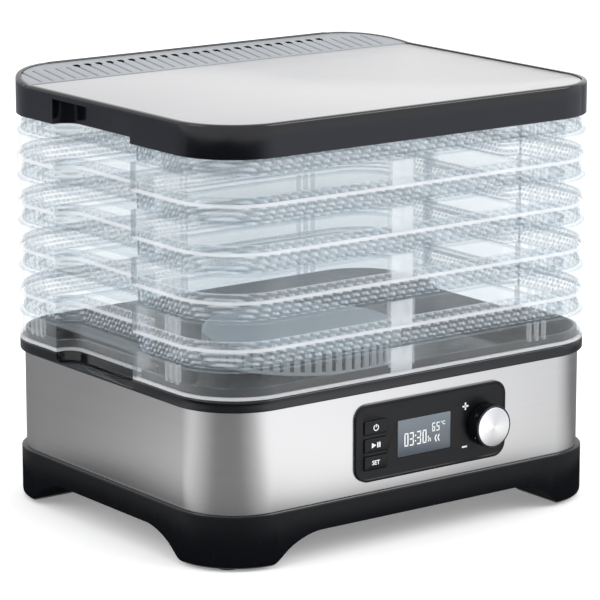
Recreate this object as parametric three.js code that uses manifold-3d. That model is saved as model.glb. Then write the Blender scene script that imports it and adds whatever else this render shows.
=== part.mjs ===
// A five-tray food dehydrator: a base with a fan, a heater and controls, a stack of clear trays and a lid.
// Millimetres, +Z up. The origin is at the middle of the whole object's footprint, on the surface it stands on.
// +X is the right-hand side and -Y the front, where the control panel is.

import * as THREE from "three";
import { mergeVertices } from "three/addons/utils/BufferGeometryUtils.js";
import Module from "manifold-3d";

const wasm = await Module();
wasm.setup();

// Driving dimensions.
const WIDTH = 330; // across the lid, the trays and the base rim
const DEPTH = 267;
const CORNER_R = 46;
const GAP = 0.3; // clearance between touching pieces
const CORNER_STEPS = 3; // each quarter turn of the outline has twice this many facets

// Heights.
const LEG_BOTTOM = 1.5;
const PAN_FLOOR = 20; // underside of the pan between the legs
const PAN_TOP = 37;
const STEEL_TOP = 105.4;
const RIM_BOTTOM = 105.7;
const LEDGE = 113.5; // the ledge that the lowest tray's skirt stands on
const COLLAR_TOP = 120.5;
const COLLAR_INSET = 4;
const DECK_BOTTOM = 98;
const DECK_TOP = 100.5;

// Walls and steps of the outline, measured inwards from it.
const STEEL_INSET = 3.3;
const STEEL_T = 0.8;
const INNER_INSET = STEEL_INSET + STEEL_T + GAP;
const WALL = 2.4;

// Trays.
const TRAYS = 5;
const PITCH = 31.2;
const SKIRT_H = 21.2; // skirt's bottom edge up to the mesh floor
const NECK_H = 17; // mesh floor up to the neck's rim
const FLOOR_T = 3;
const TRAY_WALL = 2;
const NECK_INSET = 3;
const SHOULDER_W = 6; // how far the shoulder reaches in from the outline
const MESH_PITCH_X = 70;
const MESH_PITCH_Y = 68;
const MESH_BAR = 6;

// Finger recesses in both sides, in the lid, the trays and the rim.
const RECESS_FRONT = -37;
const RECESS_REAR = 55;
const RECESS_DEPTH = 14;
const RECESS_R_FRONT = 2;
const RECESS_R_REAR = 11;

// Lid.
const LID_TOP = 291.5;
const REAR_LIP = 297.5;
const RAMP_FROM = 89; // where the vent strip starts to rise towards the back
const LIP = 3.6;
const LID_WEB_BOTTOM = 286.5;
const LID_WEB_TOP = 288.7;
const VENT_STRIP_T = 2.5;
const VENT_GROUP_X = [-104, 4.4]; // first hole of each group
const VENT_GROUP_HOLES = 12;
const VENT_HOLE_PITCH = 9.1;
const VENT_HOLE_Y = 119;

// Fan, guard and heater, all on the object's middle axis.
const GUARD_R = 69;
const GUARD_TOP = 120.5;
const GUARD_SLOTS = 30;
const OUTLET_R = 62;
const DUCT_R = 64;
const MOTOR_R = 24;
const SHAFT_R = 2.5;
const BLADES = 7;
const COIL_R = 50;
const COIL_TUBE_R = 3;

// Control panel on the front.
const PANEL_X = 9.5;
const PANEL_Z = 71;
const PANEL_W = 127;
const PANEL_H = 52.5;
const PANEL_R = 10;
const PANEL_FACE = -132; // Y of the panel's front face
const FLANGE_BACK = -130.5;
const BOARD_FRONT = -121.4;
const KNOB_X = 53.8;
const KNOB_Z = 69.2;
const KNOB_R = 14.5;
const KNOB_FACE = -143.5;
const BUTTON_X = -37.7;
const BUTTON_Z = [81.3, 69.3, 57.3];
const BUTTON_W = 18.6;
const BUTTON_H = 9;
const WINDOW = { x: 3.4, z: 69.8, w: 45.2, h: 25.6 };

const KNOB_REACH = -KNOB_FACE - DEPTH / 2; // how far the knob stands out past the rim

// Where the base is screwed together.
const SCREW_X = 110;
const SCREW_Y = 80;
const FOOT_X = 141.5;
const FOOT_Y = 110.5;
const FOOT_R = 8;

// Materials.
function finish(colour, roughness, metalness, opacity = 1) {
  const transparent = opacity < 1;
  return new THREE.MeshStandardMaterial({ color: colour, roughness, metalness, opacity, transparent });
}
const blackPlastic = finish(0x26282b, 0.4, 0);
const glossBlack = finish(0x1b1d20, 0.15, 0);
const brushedSteel = finish(0xc8c9cb, 0.32, 1);
const greyPlastic = finish(0xc6cbce, 0.45, 0);
const clearPlastic = finish(0xe8f0f4, 0.08, 0, 0.35);
const rubber = finish(0x161616, 0.9, 0);
const zinc = finish(0x9a9da0, 0.35, 1);
const aluminium = finish(0xd6d8da, 0.25, 1);
const boardGreen = finish(0x1f5a38, 0.55, 0);
const mica = finish(0xb9a888, 0.7, 0);
const nichrome = finish(0x6b6a68, 0.5, 1);
const displayGrey = finish(0x5c646c, 0.2, 0);

// Solids from three.js geometry, joined and cut with manifold-3d.
function solid(geometry, placed) {
  const bare = geometry.clone();
  if (placed) bare.applyMatrix4(placed);
  bare.deleteAttribute("normal");
  bare.deleteAttribute("uv");
  const merged = mergeVertices(bare, 1e-4);
  return new wasm.Manifold(
    new wasm.Mesh({
      numProp: 3,
      vertProperties: merged.attributes.position.array,
      triVerts: new Uint32Array(merged.index.array),
    }),
  );
}

function geometryOf(manifold) {
  const mesh = manifold.getMesh();
  const geometry = new THREE.BufferGeometry();
  geometry.setAttribute("position", new THREE.BufferAttribute(mesh.vertProperties, 3));
  geometry.setIndex(new THREE.BufferAttribute(mesh.triVerts, 1));
  geometry.computeVertexNormals();
  return geometry;
}

function piece(name, manifold, material) {
  const mesh = new THREE.Mesh(geometryOf(manifold), material);
  mesh.name = name;
  return mesh;
}

function join(solids) {
  return solids.reduce((all, one) => all.add(one));
}

function cut(body, solids) {
  return solids.reduce((left, one) => left.subtract(one), body);
}

function box(x, y, z, w, d, h) {
  const geometry = new THREE.BoxGeometry(w, d, h);
  geometry.translate(x, y, z);
  return solid(geometry);
}

// A box that stands from z0 to z1.
function block(x, y, z0, z1, w, d) {
  return box(x, y, (z0 + z1) / 2, w, d, z1 - z0);
}

// A box placed on the +X side and then turned about the middle axis.
function boxAround(degrees, x, z, w, d, h, tilt = 0) {
  const geometry = new THREE.BoxGeometry(w, d, h);
  geometry.rotateX(THREE.MathUtils.degToRad(tilt));
  geometry.translate(x, 0, z);
  geometry.rotateZ(THREE.MathUtils.degToRad(degrees));
  return solid(geometry);
}

// A plan outline raised from z0 to z1.
function prism(shape, z0, z1, steps = CORNER_STEPS) {
  const geometry = new THREE.ExtrudeGeometry(shape, { depth: z1 - z0, bevelEnabled: false, curveSegments: steps });
  geometry.translate(0, 0, z0);
  return solid(geometry);
}

// A round post or disc along Z.
function post(x, y, z0, z1, r, sides = 16) {
  const geometry = new THREE.CylinderGeometry(r, r, z1 - z0, sides);
  geometry.rotateX(Math.PI / 2);
  geometry.translate(x, y, (z0 + z1) / 2);
  return solid(geometry);
}

// A round rod along Y.
function rod(x, z, y0, y1, r, sides = 16) {
  const geometry = new THREE.CylinderGeometry(r, r, y1 - y0, sides);
  geometry.translate(x, (y0 + y1) / 2, z);
  return solid(geometry);
}

// A profile of [radius, height] points turned about Z.
// Its points run anticlockwise, with the radius to the right.
function turned(profile, sides) {
  const points = profile.map(([r, z]) => new THREE.Vector2(r, z));
  const geometry = new THREE.LatheGeometry(points, sides);
  geometry.rotateX(Math.PI / 2);
  return solid(geometry);
}

// The same kind of profile turned about a line along Y, its heights running towards the front.
function turnedForward(profile, sides, x, z) {
  const points = profile.map(([r, forward]) => new THREE.Vector2(r, forward));
  const geometry = new THREE.LatheGeometry(points, sides);
  geometry.rotateX(Math.PI);
  geometry.translate(x, 0, z);
  return solid(geometry);
}

// A rectangle with round corners, centred on (cx, cy).
function roundedRect(width, depth, r, cx = 0, cy = 0) {
  const w = width / 2;
  const d = depth / 2;
  const shape = new THREE.Shape();
  shape.moveTo(cx + w - r, cy - d);
  shape.absarc(cx + w - r, cy - d + r, r, -Math.PI / 2, 0);
  shape.absarc(cx + w - r, cy + d - r, r, 0, Math.PI / 2);
  shape.absarc(cx - w + r, cy + d - r, r, Math.PI / 2, Math.PI);
  shape.absarc(cx - w + r, cy - d + r, r, Math.PI, 1.5 * Math.PI);
  return shape;
}

// The object's plan outline, moved inwards by inset.
function outline(inset) {
  return roundedRect(WIDTH - 2 * inset, DEPTH - 2 * inset, CORNER_R - inset);
}

// The finger recess that is cut from one side, moved outwards by grow.
function recess(side, grow, z0, z1) {
  const inner = side * (WIDTH / 2 - RECESS_DEPTH - grow);
  const outer = side * (WIDTH / 2 + 10);
  const front = RECESS_FRONT - grow;
  const rear = RECESS_REAR + grow;
  const rf = RECESS_R_FRONT + grow;
  const rr = RECESS_R_REAR + grow;
  const shape = new THREE.Shape();
  shape.moveTo(outer, front);
  shape.lineTo(inner + side * rf, front);
  shape.quadraticCurveTo(inner, front, inner, front + rf);
  shape.lineTo(inner, rear - rr);
  shape.quadraticCurveTo(inner, rear, inner + side * rr, rear);
  shape.lineTo(outer, rear);
  return prism(shape, z0, z1, 1);
}

// The full plan at an inset, with both finger recesses dipping in by the same amount.
function dippedPlan(inset, z0, z1) {
  const cuts = [-1, 1].map((side) => recess(side, inset, z0 - 1, z1 + 1));
  return cut(prism(outline(inset), z0, z1), cuts);
}

function dippedRing(inset, wall, z0, z1) {
  return dippedPlan(inset, z0, z1).subtract(dippedPlan(inset + wall, z0 - 1, z1 + 1));
}

function ring(inset, wall, z0, z1) {
  return prism(outline(inset), z0, z1).subtract(prism(outline(inset + wall), z0 - 1, z1 + 1));
}

// A strip in the YZ plane, as wide as asked, for cuts that follow the lid's ramp.
function ramp(points, width) {
  const shape = new THREE.Shape();
  points.forEach(([y, z], i) => (i ? shape.lineTo(y, z) : shape.moveTo(y, z)));
  return acrossX(new THREE.ExtrudeGeometry(shape, { depth: width, bevelEnabled: false }), width);
}

// Turns an extrusion so that its section lies in the YZ plane and its depth runs along X.
function acrossX(geometry, width) {
  const toYZ = new THREE.Matrix4().makeBasis(
    new THREE.Vector3(0, 1, 0),
    new THREE.Vector3(0, 0, 1),
    new THREE.Vector3(1, 0, 0),
  );
  geometry.translate(0, 0, -width / 2);
  return solid(geometry, toYZ);
}

const rampRise = REAR_LIP - LID_TOP;
const rampBack = DEPTH / 2;

// Lid: a black frame with a steel plate let into it and a raised vent strip along the back.
function lidFrame() {
  const bottom = LEDGE + TRAYS * PITCH;
  const above = ramp(
    [[-200, LID_TOP], [RAMP_FROM, LID_TOP], [rampBack, REAR_LIP], [200, REAR_LIP], [200, 330], [-200, 330]],
    400,
  );
  const webEdge = RAMP_FROM - 2;
  const wallRing = ring(0, WALL, bottom, REAR_LIP).subtract(above);
  const lipRing = ring(0, LIP, LID_WEB_BOTTOM, REAR_LIP).subtract(above);
  const web = prism(outline(1), LID_WEB_BOTTOM, LID_WEB_TOP);
  const outletCut = prism(outline(12), LID_WEB_BOTTOM - 1, LID_WEB_TOP + 1).intersect(
    ramp([[webEdge + 8, 280], [120, 280], [120, 300], [webEdge + 8, 300]], 290),
  );
  const dips = [-1, 1].map((side) => recess(side, 0, bottom - 1, LID_TOP - 5));
  const dipWalls = [-1, 1].map((side) => recess(side, WALL, bottom, LID_WEB_TOP - 1));
  const inside = prism(outline(0.5), bottom, LID_WEB_TOP);
  const neckTop = bottom - PITCH + SKIRT_H + NECK_H;
  const rests = ribPlaces().map(([x, y, w, d]) => block(x, y, neckTop + GAP, LID_WEB_BOTTOM + 1, w, d));
  const body = join([wallRing, lipRing, web, ...dipWalls.map((one) => one.intersect(inside)), ...rests]);
  return piece("lid_frame", cut(body, [...dips, outletCut]), glossBlack);
}

function lidPlate() {
  const plan = prism(outline(LIP + GAP), LID_WEB_TOP + GAP, LID_TOP - 0.8);
  const rearPart = box(0, RAMP_FROM + 100, 290, 400, 200, 20);
  return piece("lid_plate", plan.subtract(rearPart), brushedSteel);
}

function lidVentStrip() {
  const from = RAMP_FROM + GAP;
  const to = rampBack + 6.5;
  const low = VENT_STRIP_T;
  const topAt = (y) => LID_TOP - 0.4 + (rampRise * (y - RAMP_FROM)) / (rampBack - RAMP_FROM);
  const section = [[from, topAt(from) - low], [to, topAt(to) - low], [to, topAt(to)], [from, topAt(from)]];
  const band = ramp(section, 400);
  const plan = prism(outline(LIP + GAP), LID_WEB_TOP + GAP, REAR_LIP + 5);
  const holes = [];
  for (const first of VENT_GROUP_X) {
    for (let i = 0; i < VENT_GROUP_HOLES; i++) {
      holes.push(box(first + i * VENT_HOLE_PITCH, VENT_HOLE_Y, LID_TOP, 5, 2.6, 25));
    }
  }
  return piece("lid_vent_strip", cut(band.intersect(plan), holes), greyPlastic);
}

// Where the ribs inside each skirt stand on the neck below: [x, y, width, depth].
function ribPlaces() {
  const inX = WIDTH / 2 - TRAY_WALL - 1.8;
  const inY = DEPTH / 2 - TRAY_WALL - 1.8;
  const places = [];
  for (const side of [-1, 1]) {
    for (const y of [-79, 82]) places.push([side * inX, y, 4.4, 6]);
    for (const x of [-16, 101]) places.push([x, side * inY, 6, 4.4]);
  }
  return places;
}

function trayFloorLevel(number) {
  return LEDGE + (TRAYS - number) * PITCH + SKIRT_H;
}

// One clear tray's walls: a neck that the tray above fits over, a shoulder, and a skirt with ribs inside.
// The shoulder is a narrow shelf that widens into a ledge under each finger recess.
function tray(number) {
  const floor = trayFloorLevel(number);
  const bottom = floor - SKIRT_H + (number === TRAYS ? GAP : 0);
  const shoulder = prism(outline(0), floor - FLOOR_T, floor);
  const inside = dippedPlan(SHOULDER_W, floor - FLOOR_T - 1, floor + 1);
  const skirt = dippedRing(0, TRAY_WALL, bottom, floor - 0.5);
  const neck = dippedRing(NECK_INSET, TRAY_WALL, floor - 0.5, floor + NECK_H);
  const ribBottom = floor - (PITCH - NECK_H) + GAP;
  const ribs = ribPlaces().map(([x, y, w, d]) => block(x, y, ribBottom, floor - 1, w, d));
  return piece("tray_" + number, join([shoulder.subtract(inside), skirt, neck, ...ribs]), clearPlastic);
}

// The mesh floor inside the shoulder.
function trayMesh(number) {
  const floor = trayFloorLevel(number);
  const plate = dippedPlan(SHOULDER_W + GAP, floor - FLOOR_T, floor);
  const holes = [];
  for (let i = -1.5; i <= 1.5; i++) {
    for (let j = -1; j <= 1; j++) {
      const width = MESH_PITCH_X - MESH_BAR;
      const depth = MESH_PITCH_Y - MESH_BAR;
      holes.push(box(i * MESH_PITCH_X, j * MESH_PITCH_Y, floor, width, depth, 4 * FLOOR_T));
    }
  }
  return piece("tray_" + number + "_mesh", cut(plate, holes), clearPlastic);
}

// Base top: the black rim and collar that carry the trays, with a finger pocket in both sides.
function baseTop() {
  const floorOfPocket = 107.5;
  const rim = ring(0, INNER_INSET + WALL, RIM_BOTTOM, LEDGE);
  const besideSteel = ring(-5, INNER_INSET + 5, DECK_BOTTOM - 8, RIM_BOTTOM);
  const collar = dippedRing(COLLAR_INSET, WALL, DECK_BOTTOM, COLLAR_TOP).subtract(besideSteel);
  const tuck = ring(INNER_INSET, WALL, DECK_BOTTOM - 3, RIM_BOTTOM + 1);
  const pockets = [-1, 1].map((side) => recess(side, 0, floorOfPocket, COLLAR_TOP + 1));
  const pocketFloors = [-1, 1].map((side) =>
    recess(side, 5, RIM_BOTTOM, floorOfPocket).intersect(prism(outline(0.5), 90, 130)),
  );
  const underPockets = [-1, 1].map((side) =>
    recess(side, 2, 90, RIM_BOTTOM).intersect(prism(outline(INNER_INSET + WALL), 80, 130)),
  );
  const body = join([rim, collar, tuck, ...pocketFloors]);
  return piece("base_top", cut(body, [...pockets, ...underPockets]), blackPlastic);
}

// The sunken deck inside the collar, with the round outlet over the fan and the posts for the base screws.
function baseDeck() {
  const deck = dippedPlan(INNER_INSET + WALL + GAP, DECK_BOTTOM, DECK_TOP);
  const outlet = post(0, 0, 90, 110, OUTLET_R, 36);
  const screwPosts = corners(SCREW_X, SCREW_Y).map(([x, y]) => post(x, y, 45, DECK_BOTTOM + 1, 4.5, 8));
  const pilotHoles = corners(SCREW_X, SCREW_Y).map(([x, y]) => post(x, y, 44, 62, 2.2, 6));
  return piece("base_deck", cut(join([deck, ...screwPosts]), [outlet, ...pilotHoles]), blackPlastic);
}

function corners(x, y) {
  return [[-x, -y], [x, -y], [-x, y], [x, y]];
}

// The round guard over the fan, with a ring of upright slots.
function fanGuard() {
  const r = GUARD_R;
  const t = 2.2;
  const foot = DECK_TOP + GAP;
  const edge = 4;
  const profile = [[0, GUARD_TOP - t], [r - t - edge, GUARD_TOP - t]];
  profile.push([r - t, GUARD_TOP - t - edge], [r - t, foot], [r, foot], [r, GUARD_TOP - edge]);
  profile.push([r - edge, GUARD_TOP], [0, GUARD_TOP]);
  const shell = turned(profile, GUARD_SLOTS);
  const slots = [];
  for (let i = 0; i < GUARD_SLOTS; i++) {
    const height = GUARD_TOP - foot - 5.5;
    slots.push(boxAround(((i + 0.5) * 360) / GUARD_SLOTS, r, foot + 2.5 + height / 2, 14, 2.9, height));
  }
  return piece("fan_guard", cut(shell, slots), greyPlastic);
}

// The brushed steel band between the rim and the pan, cut out for the panel and for the cord gland.
function steelBand() {
  const band = ring(STEEL_INSET, STEEL_T, PAN_TOP + GAP, STEEL_TOP);
  const panelHole = frontPlate(PANEL_W - 4, PANEL_H - 6, 6, -DEPTH / 2 - 5, -DEPTH / 2 + 15);
  const glandHole = rod(GLAND.x, GLAND.z, DEPTH / 2 - 10, DEPTH / 2 + 10, GLAND.neck + GAP, 20);
  return piece("steel_band", cut(band, [panelHole, glandHole]), brushedSteel);
}

// The pan under the base: a tub with four hollow legs and arched openings between them.
function basePan() {
  const floorTop = PAN_FLOOR + 2.5;
  const edge = 4;
  const bevelled = new THREE.ExtrudeGeometry(outline(edge), {
    depth: PAN_TOP - LEG_BOTTOM - 2 * edge,
    bevelThickness: edge,
    bevelSize: edge,
    bevelSegments: 1,
    curveSegments: CORNER_STEPS,
  });
  bevelled.translate(0, 0, LEG_BOTTOM + edge);
  const inside = prism(outline(3), floorTop, PAN_TOP - 3).add(prism(outline(7), PAN_TOP - 4, PAN_TOP + 3));
  const legPockets = corners(1, 1).map(([sx, sy]) =>
    prism(outline(3), LEG_BOTTOM + 3, floorTop + 1).intersect(box(sx * 233, sy * 203, 20, 200, 200, 60)),
  );
  const upstand = ring(INNER_INSET, 2, PAN_TOP - 2, PAN_TOP + 5);
  const posts = corners(SCREW_X, SCREW_Y).map(([x, y]) => post(x, y, floorTop - 1, 44.7, 6.5, 8));
  const boardPosts = POWER_POSTS.map(([x, y]) => post(x, y, floorTop - 1, POWER_Z - GAP, 3, 6));
  const motorPosts = MOTOR_POSTS.map(([x, y]) => post(x, y, floorTop - 1, BRACKET_Z - GAP, 4, 6));
  const arches = [archAlong("x"), archAlong("y")];
  const screwHoles = corners(SCREW_X, SCREW_Y).map(([x, y]) => post(x, y, 10, 50, 2.3, 8));
  const headRecesses = corners(SCREW_X, SCREW_Y).map(([x, y]) => post(x, y, 10, 24, 4.6, 8));
  const padR = FOOT_R + 2 * GAP;
  const padPockets = corners(FOOT_X, FOOT_Y).map(([x, y]) => post(x, y, 0, LEG_BOTTOM + 1, padR, 14));
  const intake = [];
  for (let i = 0; i < 6; i++) intake.push(boxAround(60 * i, 46, 21, 24, 9, 10));
  const tub = cut(solid(bevelled), [inside, ...legPockets]);
  const body = join([tub, upstand, ...posts, ...boardPosts, ...motorPosts]);
  return piece("base_pan", cut(body, [...arches, ...screwHoles, ...headRecesses, ...padPockets, ...intake]), blackPlastic);
}

// The space under the pan: flat between the legs, with a curved run down to each leg.
function archAlong(axis) {
  const half = (axis === "x" ? WIDTH : DEPTH) / 2;
  const legFoot = half - 35;
  const legTop = half - 63;
  const mid = (legFoot + legTop) / 2;
  const low = -5;
  const middle = (PAN_FLOOR + LEG_BOTTOM) / 2;
  const shape = new THREE.Shape();
  shape.moveTo(-legFoot, low);
  shape.lineTo(legFoot, low);
  shape.lineTo(legFoot, LEG_BOTTOM);
  shape.quadraticCurveTo(mid + 6, LEG_BOTTOM + 1, mid, middle);
  shape.quadraticCurveTo(mid - 6, PAN_FLOOR, legTop, PAN_FLOOR);
  shape.lineTo(-legTop, PAN_FLOOR);
  shape.quadraticCurveTo(-mid + 6, PAN_FLOOR, -mid, middle);
  shape.quadraticCurveTo(-mid - 6, LEG_BOTTOM + 1, -legFoot, LEG_BOTTOM);
  const geometry = new THREE.ExtrudeGeometry(shape, { depth: 400, bevelEnabled: false, curveSegments: 3 });
  if (axis === "y") return acrossX(geometry, 400);
  geometry.translate(0, 0, -200);
  geometry.rotateX(Math.PI / 2);
  return solid(geometry);
}

function rubberFeet() {
  const names = ["front_left", "front_right", "rear_left", "rear_right"];
  return corners(FOOT_X, FOOT_Y).map(([x, y], i) =>
    piece("rubber_foot_" + names[i], post(x, y, 0, LEG_BOTTOM + 0.7, FOOT_R, 14), rubber),
  );
}

// Long screws that come up through the pan into the posts under the deck.
function baseScrews() {
  return corners(SCREW_X, SCREW_Y).map(([x, y], i) => {
    const body = join([post(x, y, 21, 23.7, 4, 10), post(x, y, 23.5, 58, 1.8, 6)]);
    return piece("base_screw_" + (i + 1), body, zinc);
  });
}

// Cord gland in the back of the steel band, with its bore left open.
const GLAND = { x: -100, z: 60, neck: 7 };
function cordGland() {
  const outside = DEPTH / 2 - 0.2;
  const steelBack = DEPTH / 2 - STEEL_INSET;
  const body = join([
    rod(GLAND.x, GLAND.z, steelBack + GAP, outside, 9, 20),
    rod(GLAND.x, GLAND.z, steelBack - 6, outside - 1, GLAND.neck, 20),
    rod(GLAND.x, GLAND.z, steelBack - 6, steelBack - STEEL_T - GAP, 9, 20),
  ]);
  const bore = rod(GLAND.x, GLAND.z, steelBack - 20, outside + 5, 3.6, 16);
  return piece("cord_gland", body.subtract(bore), rubber);
}

// Motor and its bracket.
const BRACKET_Z = 38;
const MOTOR_POSTS = [0, 120, 240].map((deg) => {
  const a = ((deg + 30) * Math.PI) / 180;
  return [34 * Math.cos(a), 34 * Math.sin(a)];
});
const MOTOR_FOOT = BRACKET_Z + 2 + GAP;
const MOTOR_TOP = MOTOR_FOOT + 26;
const SHAFT_TOP = 84;

function motorBracket() {
  const arms = MOTOR_POSTS.map(([x, y]) => post(x, y, BRACKET_Z, BRACKET_Z + 2, 5, 8));
  const spokes = [0, 120, 240].map((deg) => boxAround(deg + 30, 24, BRACKET_Z + 1, 22, 8, 2));
  const plate = join([post(0, 0, BRACKET_Z, BRACKET_Z + 2, 20, 16), ...arms, ...spokes]);
  const holes = MOTOR_POSTS.map(([x, y]) => post(x, y, BRACKET_Z - 1, BRACKET_Z + 5, 1.7, 8));
  return piece("motor_bracket", cut(plate, holes), zinc);
}

function fanMotor() {
  const neckTop = MOTOR_TOP + 4;
  const bore = SHAFT_R + GAP;
  const profile = [[0, MOTOR_FOOT], [MOTOR_R - 1.5, MOTOR_FOOT], [MOTOR_R, MOTOR_FOOT + 1.5]];
  profile.push([MOTOR_R, MOTOR_TOP - 2], [MOTOR_R - 2, MOTOR_TOP], [8, MOTOR_TOP], [8, neckTop]);
  profile.push([bore, neckTop], [bore, MOTOR_FOOT + 10], [0, MOTOR_FOOT + 10]);
  return piece("fan_motor", turned(profile, 20), zinc);
}

function motorShaft() {
  return piece("motor_shaft", post(0, 0, MOTOR_FOOT + 10 + GAP, SHAFT_TOP, SHAFT_R, 12), zinc);
}

function fanImpeller() {
  const hubTop = 87;
  const hubBottom = MOTOR_TOP + 5.5;
  const bore = SHAFT_R + GAP;
  const profile = [[0, SHAFT_TOP + GAP], [bore, SHAFT_TOP + GAP], [bore, hubBottom], [14, hubBottom]];
  profile.push([16, hubBottom + 2], [16, hubTop - 2], [14, hubTop], [0, hubTop]);
  const hub = turned(profile, 20);
  const blades = [];
  for (let i = 0; i < BLADES; i++) {
    blades.push(boxAround((i * 360) / BLADES, 35, 79.5, 42, 20, 1.6, 32));
  }
  return piece("fan_impeller", join([hub, ...blades]), blackPlastic);
}

// Sheet-metal duct round the fan, hung from the deck by its flange.
function airDuct() {
  const top = DECK_BOTTOM - GAP;
  const low = 62;
  const profile = [[DUCT_R - 1.2, low], [DUCT_R, low], [DUCT_R, top - 1.5], [DUCT_R + 8, top - 1.5]];
  profile.push([DUCT_R + 8, top], [DUCT_R - 1.2, top], [DUCT_R - 1.2, low]);
  return piece("air_duct", turned(profile, 32), zinc);
}

// The heating coil is a closed ring held by four mica plates.
const COIL_Z = 92;
function coilSolid(tubeRadius) {
  const profile = [];
  for (let i = 0; i <= 6; i++) {
    const a = (i * Math.PI) / 3;
    profile.push([COIL_R + tubeRadius * Math.cos(a), COIL_Z + tubeRadius * Math.sin(a)]);
  }
  return turned(profile, 28);
}

function heatingCoil() {
  return piece("heating_coil", coilSolid(COIL_TUBE_R), nichrome);
}

function coilHolders() {
  return [0, 90, 180, 270].map((deg, i) => {
    const plate = boxAround(deg + 45, 52.6, COIL_Z, 19.6, 2, 11);
    return piece("coil_holder_" + (i + 1), plate.subtract(coilSolid(COIL_TUBE_R + 0.5)), mica);
  });
}

function thermalCutout() {
  const body = join([rod(0, 80, -DUCT_R - 9, -DUCT_R - 1, 7, 16), box(0, -DUCT_R - 0.75, 80, 24, 0.9, 8)]);
  return piece("thermal_cutout", body, glossBlack);
}

function temperatureProbe() {
  return piece("temperature_probe", post(-64.3, 0, DECK_TOP + GAP, 111, 1.5, 10), aluminium);
}

// Power board at the back of the pan.
const POWER_Z = 30;
const POWER_POSTS = [[-45, 82], [45, 82], [-45, 110], [45, 110]];
function powerBoard() {
  const board = box(0, 96, POWER_Z + 0.8, 102, 38, 1.6);
  const holes = POWER_POSTS.map(([x, y]) => post(x, y, POWER_Z - 1, POWER_Z + 3, 1.6, 8));
  return piece("power_board", cut(board, holes), boardGreen);
}

function powerRelay() {
  return piece("power_relay", box(-24, 96, POWER_Z + 1.6 + GAP + 8, 20, 16, 16), glossBlack);
}

function terminalBlock() {
  const body = box(22, 102, POWER_Z + 1.6 + GAP + 5, 30, 11, 10);
  const ports = [0, 1, 2].map((i) => box(12 + 10 * i, 107, POWER_Z + 6.6, 5, 6, 4.5));
  return piece("terminal_block", cut(body, ports), greyPlastic);
}

// Leads between the two boards, in one sleeve clipped round the duct.
function wireLoom() {
  const path = new THREE.CatmullRomCurve3(
    [[30, -116.6, 58], [50, -112, 44], [78, -80, 32], [92, -30, 30], [92, 20, 30], [76, 60, 32], [44, 88, 40]].map(
      ([x, y, z]) => new THREE.Vector3(x, y, z),
    ),
  );
  const section = new THREE.Shape();
  section.absarc(0, 0, 2.5, 0, 2 * Math.PI);
  const tube = new THREE.ExtrudeGeometry(section, { steps: 22, extrudePath: path, curveSegments: 4 });
  return piece("wire_loom", solid(tube), blackPlastic);
}

// Control panel: a black fascia with bosses behind it, the display, three buttons and a knob.
const BOSSES = [[-24, 89], [64, 89], [-24, 53], [64, 53]];

// A plate with round corners facing the front, centred on the panel, from y0 back to y1.
function frontPlate(width, height, r, y0, y1) {
  const shape = roundedRect(width, height, r, PANEL_X, PANEL_Z);
  const geometry = new THREE.ExtrudeGeometry(shape, { depth: y1 - y0, bevelEnabled: false, curveSegments: 3 });
  geometry.rotateX(Math.PI / 2);
  geometry.translate(0, y1, 0);
  return solid(geometry);
}

function panelFascia() {
  const face = frontPlate(PANEL_W, PANEL_H, PANEL_R, PANEL_FACE, FLANGE_BACK);
  const frameOut = frontPlate(PANEL_W - 5, PANEL_H - 7, 5.5, FLANGE_BACK - 0.5, -124);
  const frameIn = frontPlate(PANEL_W - 8, PANEL_H - 10, 4, FLANGE_BACK, -120);
  const bosses = BOSSES.map(([x, z]) => rod(x, z, FLANGE_BACK - 0.5, BOARD_FRONT - GAP, 2.6, 10));
  const bossHoles = BOSSES.map(([x, z]) => rod(x, z, FLANGE_BACK + 1, BOARD_FRONT + 2, 1.5, 8));
  const window = box(WINDOW.x, PANEL_FACE, WINDOW.z, WINDOW.w, 10, WINDOW.h);
  const buttonHoles = BUTTON_Z.map((z) => box(BUTTON_X, PANEL_FACE, z, BUTTON_W + 0.8, 10, BUTTON_H + 0.8));
  const shaftHole = rod(KNOB_X, KNOB_Z, PANEL_FACE - 2, FLANGE_BACK + 2, 4.5, 16);
  const frame = frameOut.subtract(frameIn);
  const body = join([face, frame, ...bosses]);
  return piece("panel_fascia", cut(body, [window, ...buttonHoles, shaftHole, ...bossHoles]), glossBlack);
}

function displayLens() {
  const lens = box(WINDOW.x, PANEL_FACE + 0.85, WINDOW.z, WINDOW.w - 2 * GAP, 1.3, WINDOW.h - 2 * GAP);
  return piece("display_lens", lens, displayGrey);
}

function lcdModule() {
  return piece("lcd_module", box(WINDOW.x, -127.2, WINDOW.z, WINDOW.w + 3, 5, WINDOW.h + 3), displayGrey);
}

const BUTTON_NAMES = ["power", "start", "set"];
function buttons() {
  return BUTTON_Z.map((z, i) => {
    const cap = box(BUTTON_X, -130.3, z, BUTTON_W, 4, BUTTON_H);
    const flange = box(BUTTON_X, -128.8, z, BUTTON_W + 2, 1.4, BUTTON_H + 2);
    const stem = rod(BUTTON_X, z, -129, -126, 1.6, 8);
    return piece("button_" + BUTTON_NAMES[i], join([cap, flange, stem]), blackPlastic);
  });
}

function switches() {
  return BUTTON_Z.map((z, i) => {
    const body = join([box(BUTTON_X, -123.2, z, 6, 3, 6), rod(BUTTON_X, z, -125.1, -124, 1.5, 8)]);
    return piece("switch_" + BUTTON_NAMES[i], body, glossBlack);
  });
}

function controlBoard() {
  const board = box(PANEL_X, BOARD_FRONT + 0.8, PANEL_Z, PANEL_W - 10, 1.6, PANEL_H - 8);
  const holes = BOSSES.map(([x, z]) => rod(x, z, BOARD_FRONT - 1, BOARD_FRONT + 3, 1.6, 8));
  return piece("control_board", cut(board, holes), boardGreen);
}

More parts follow.
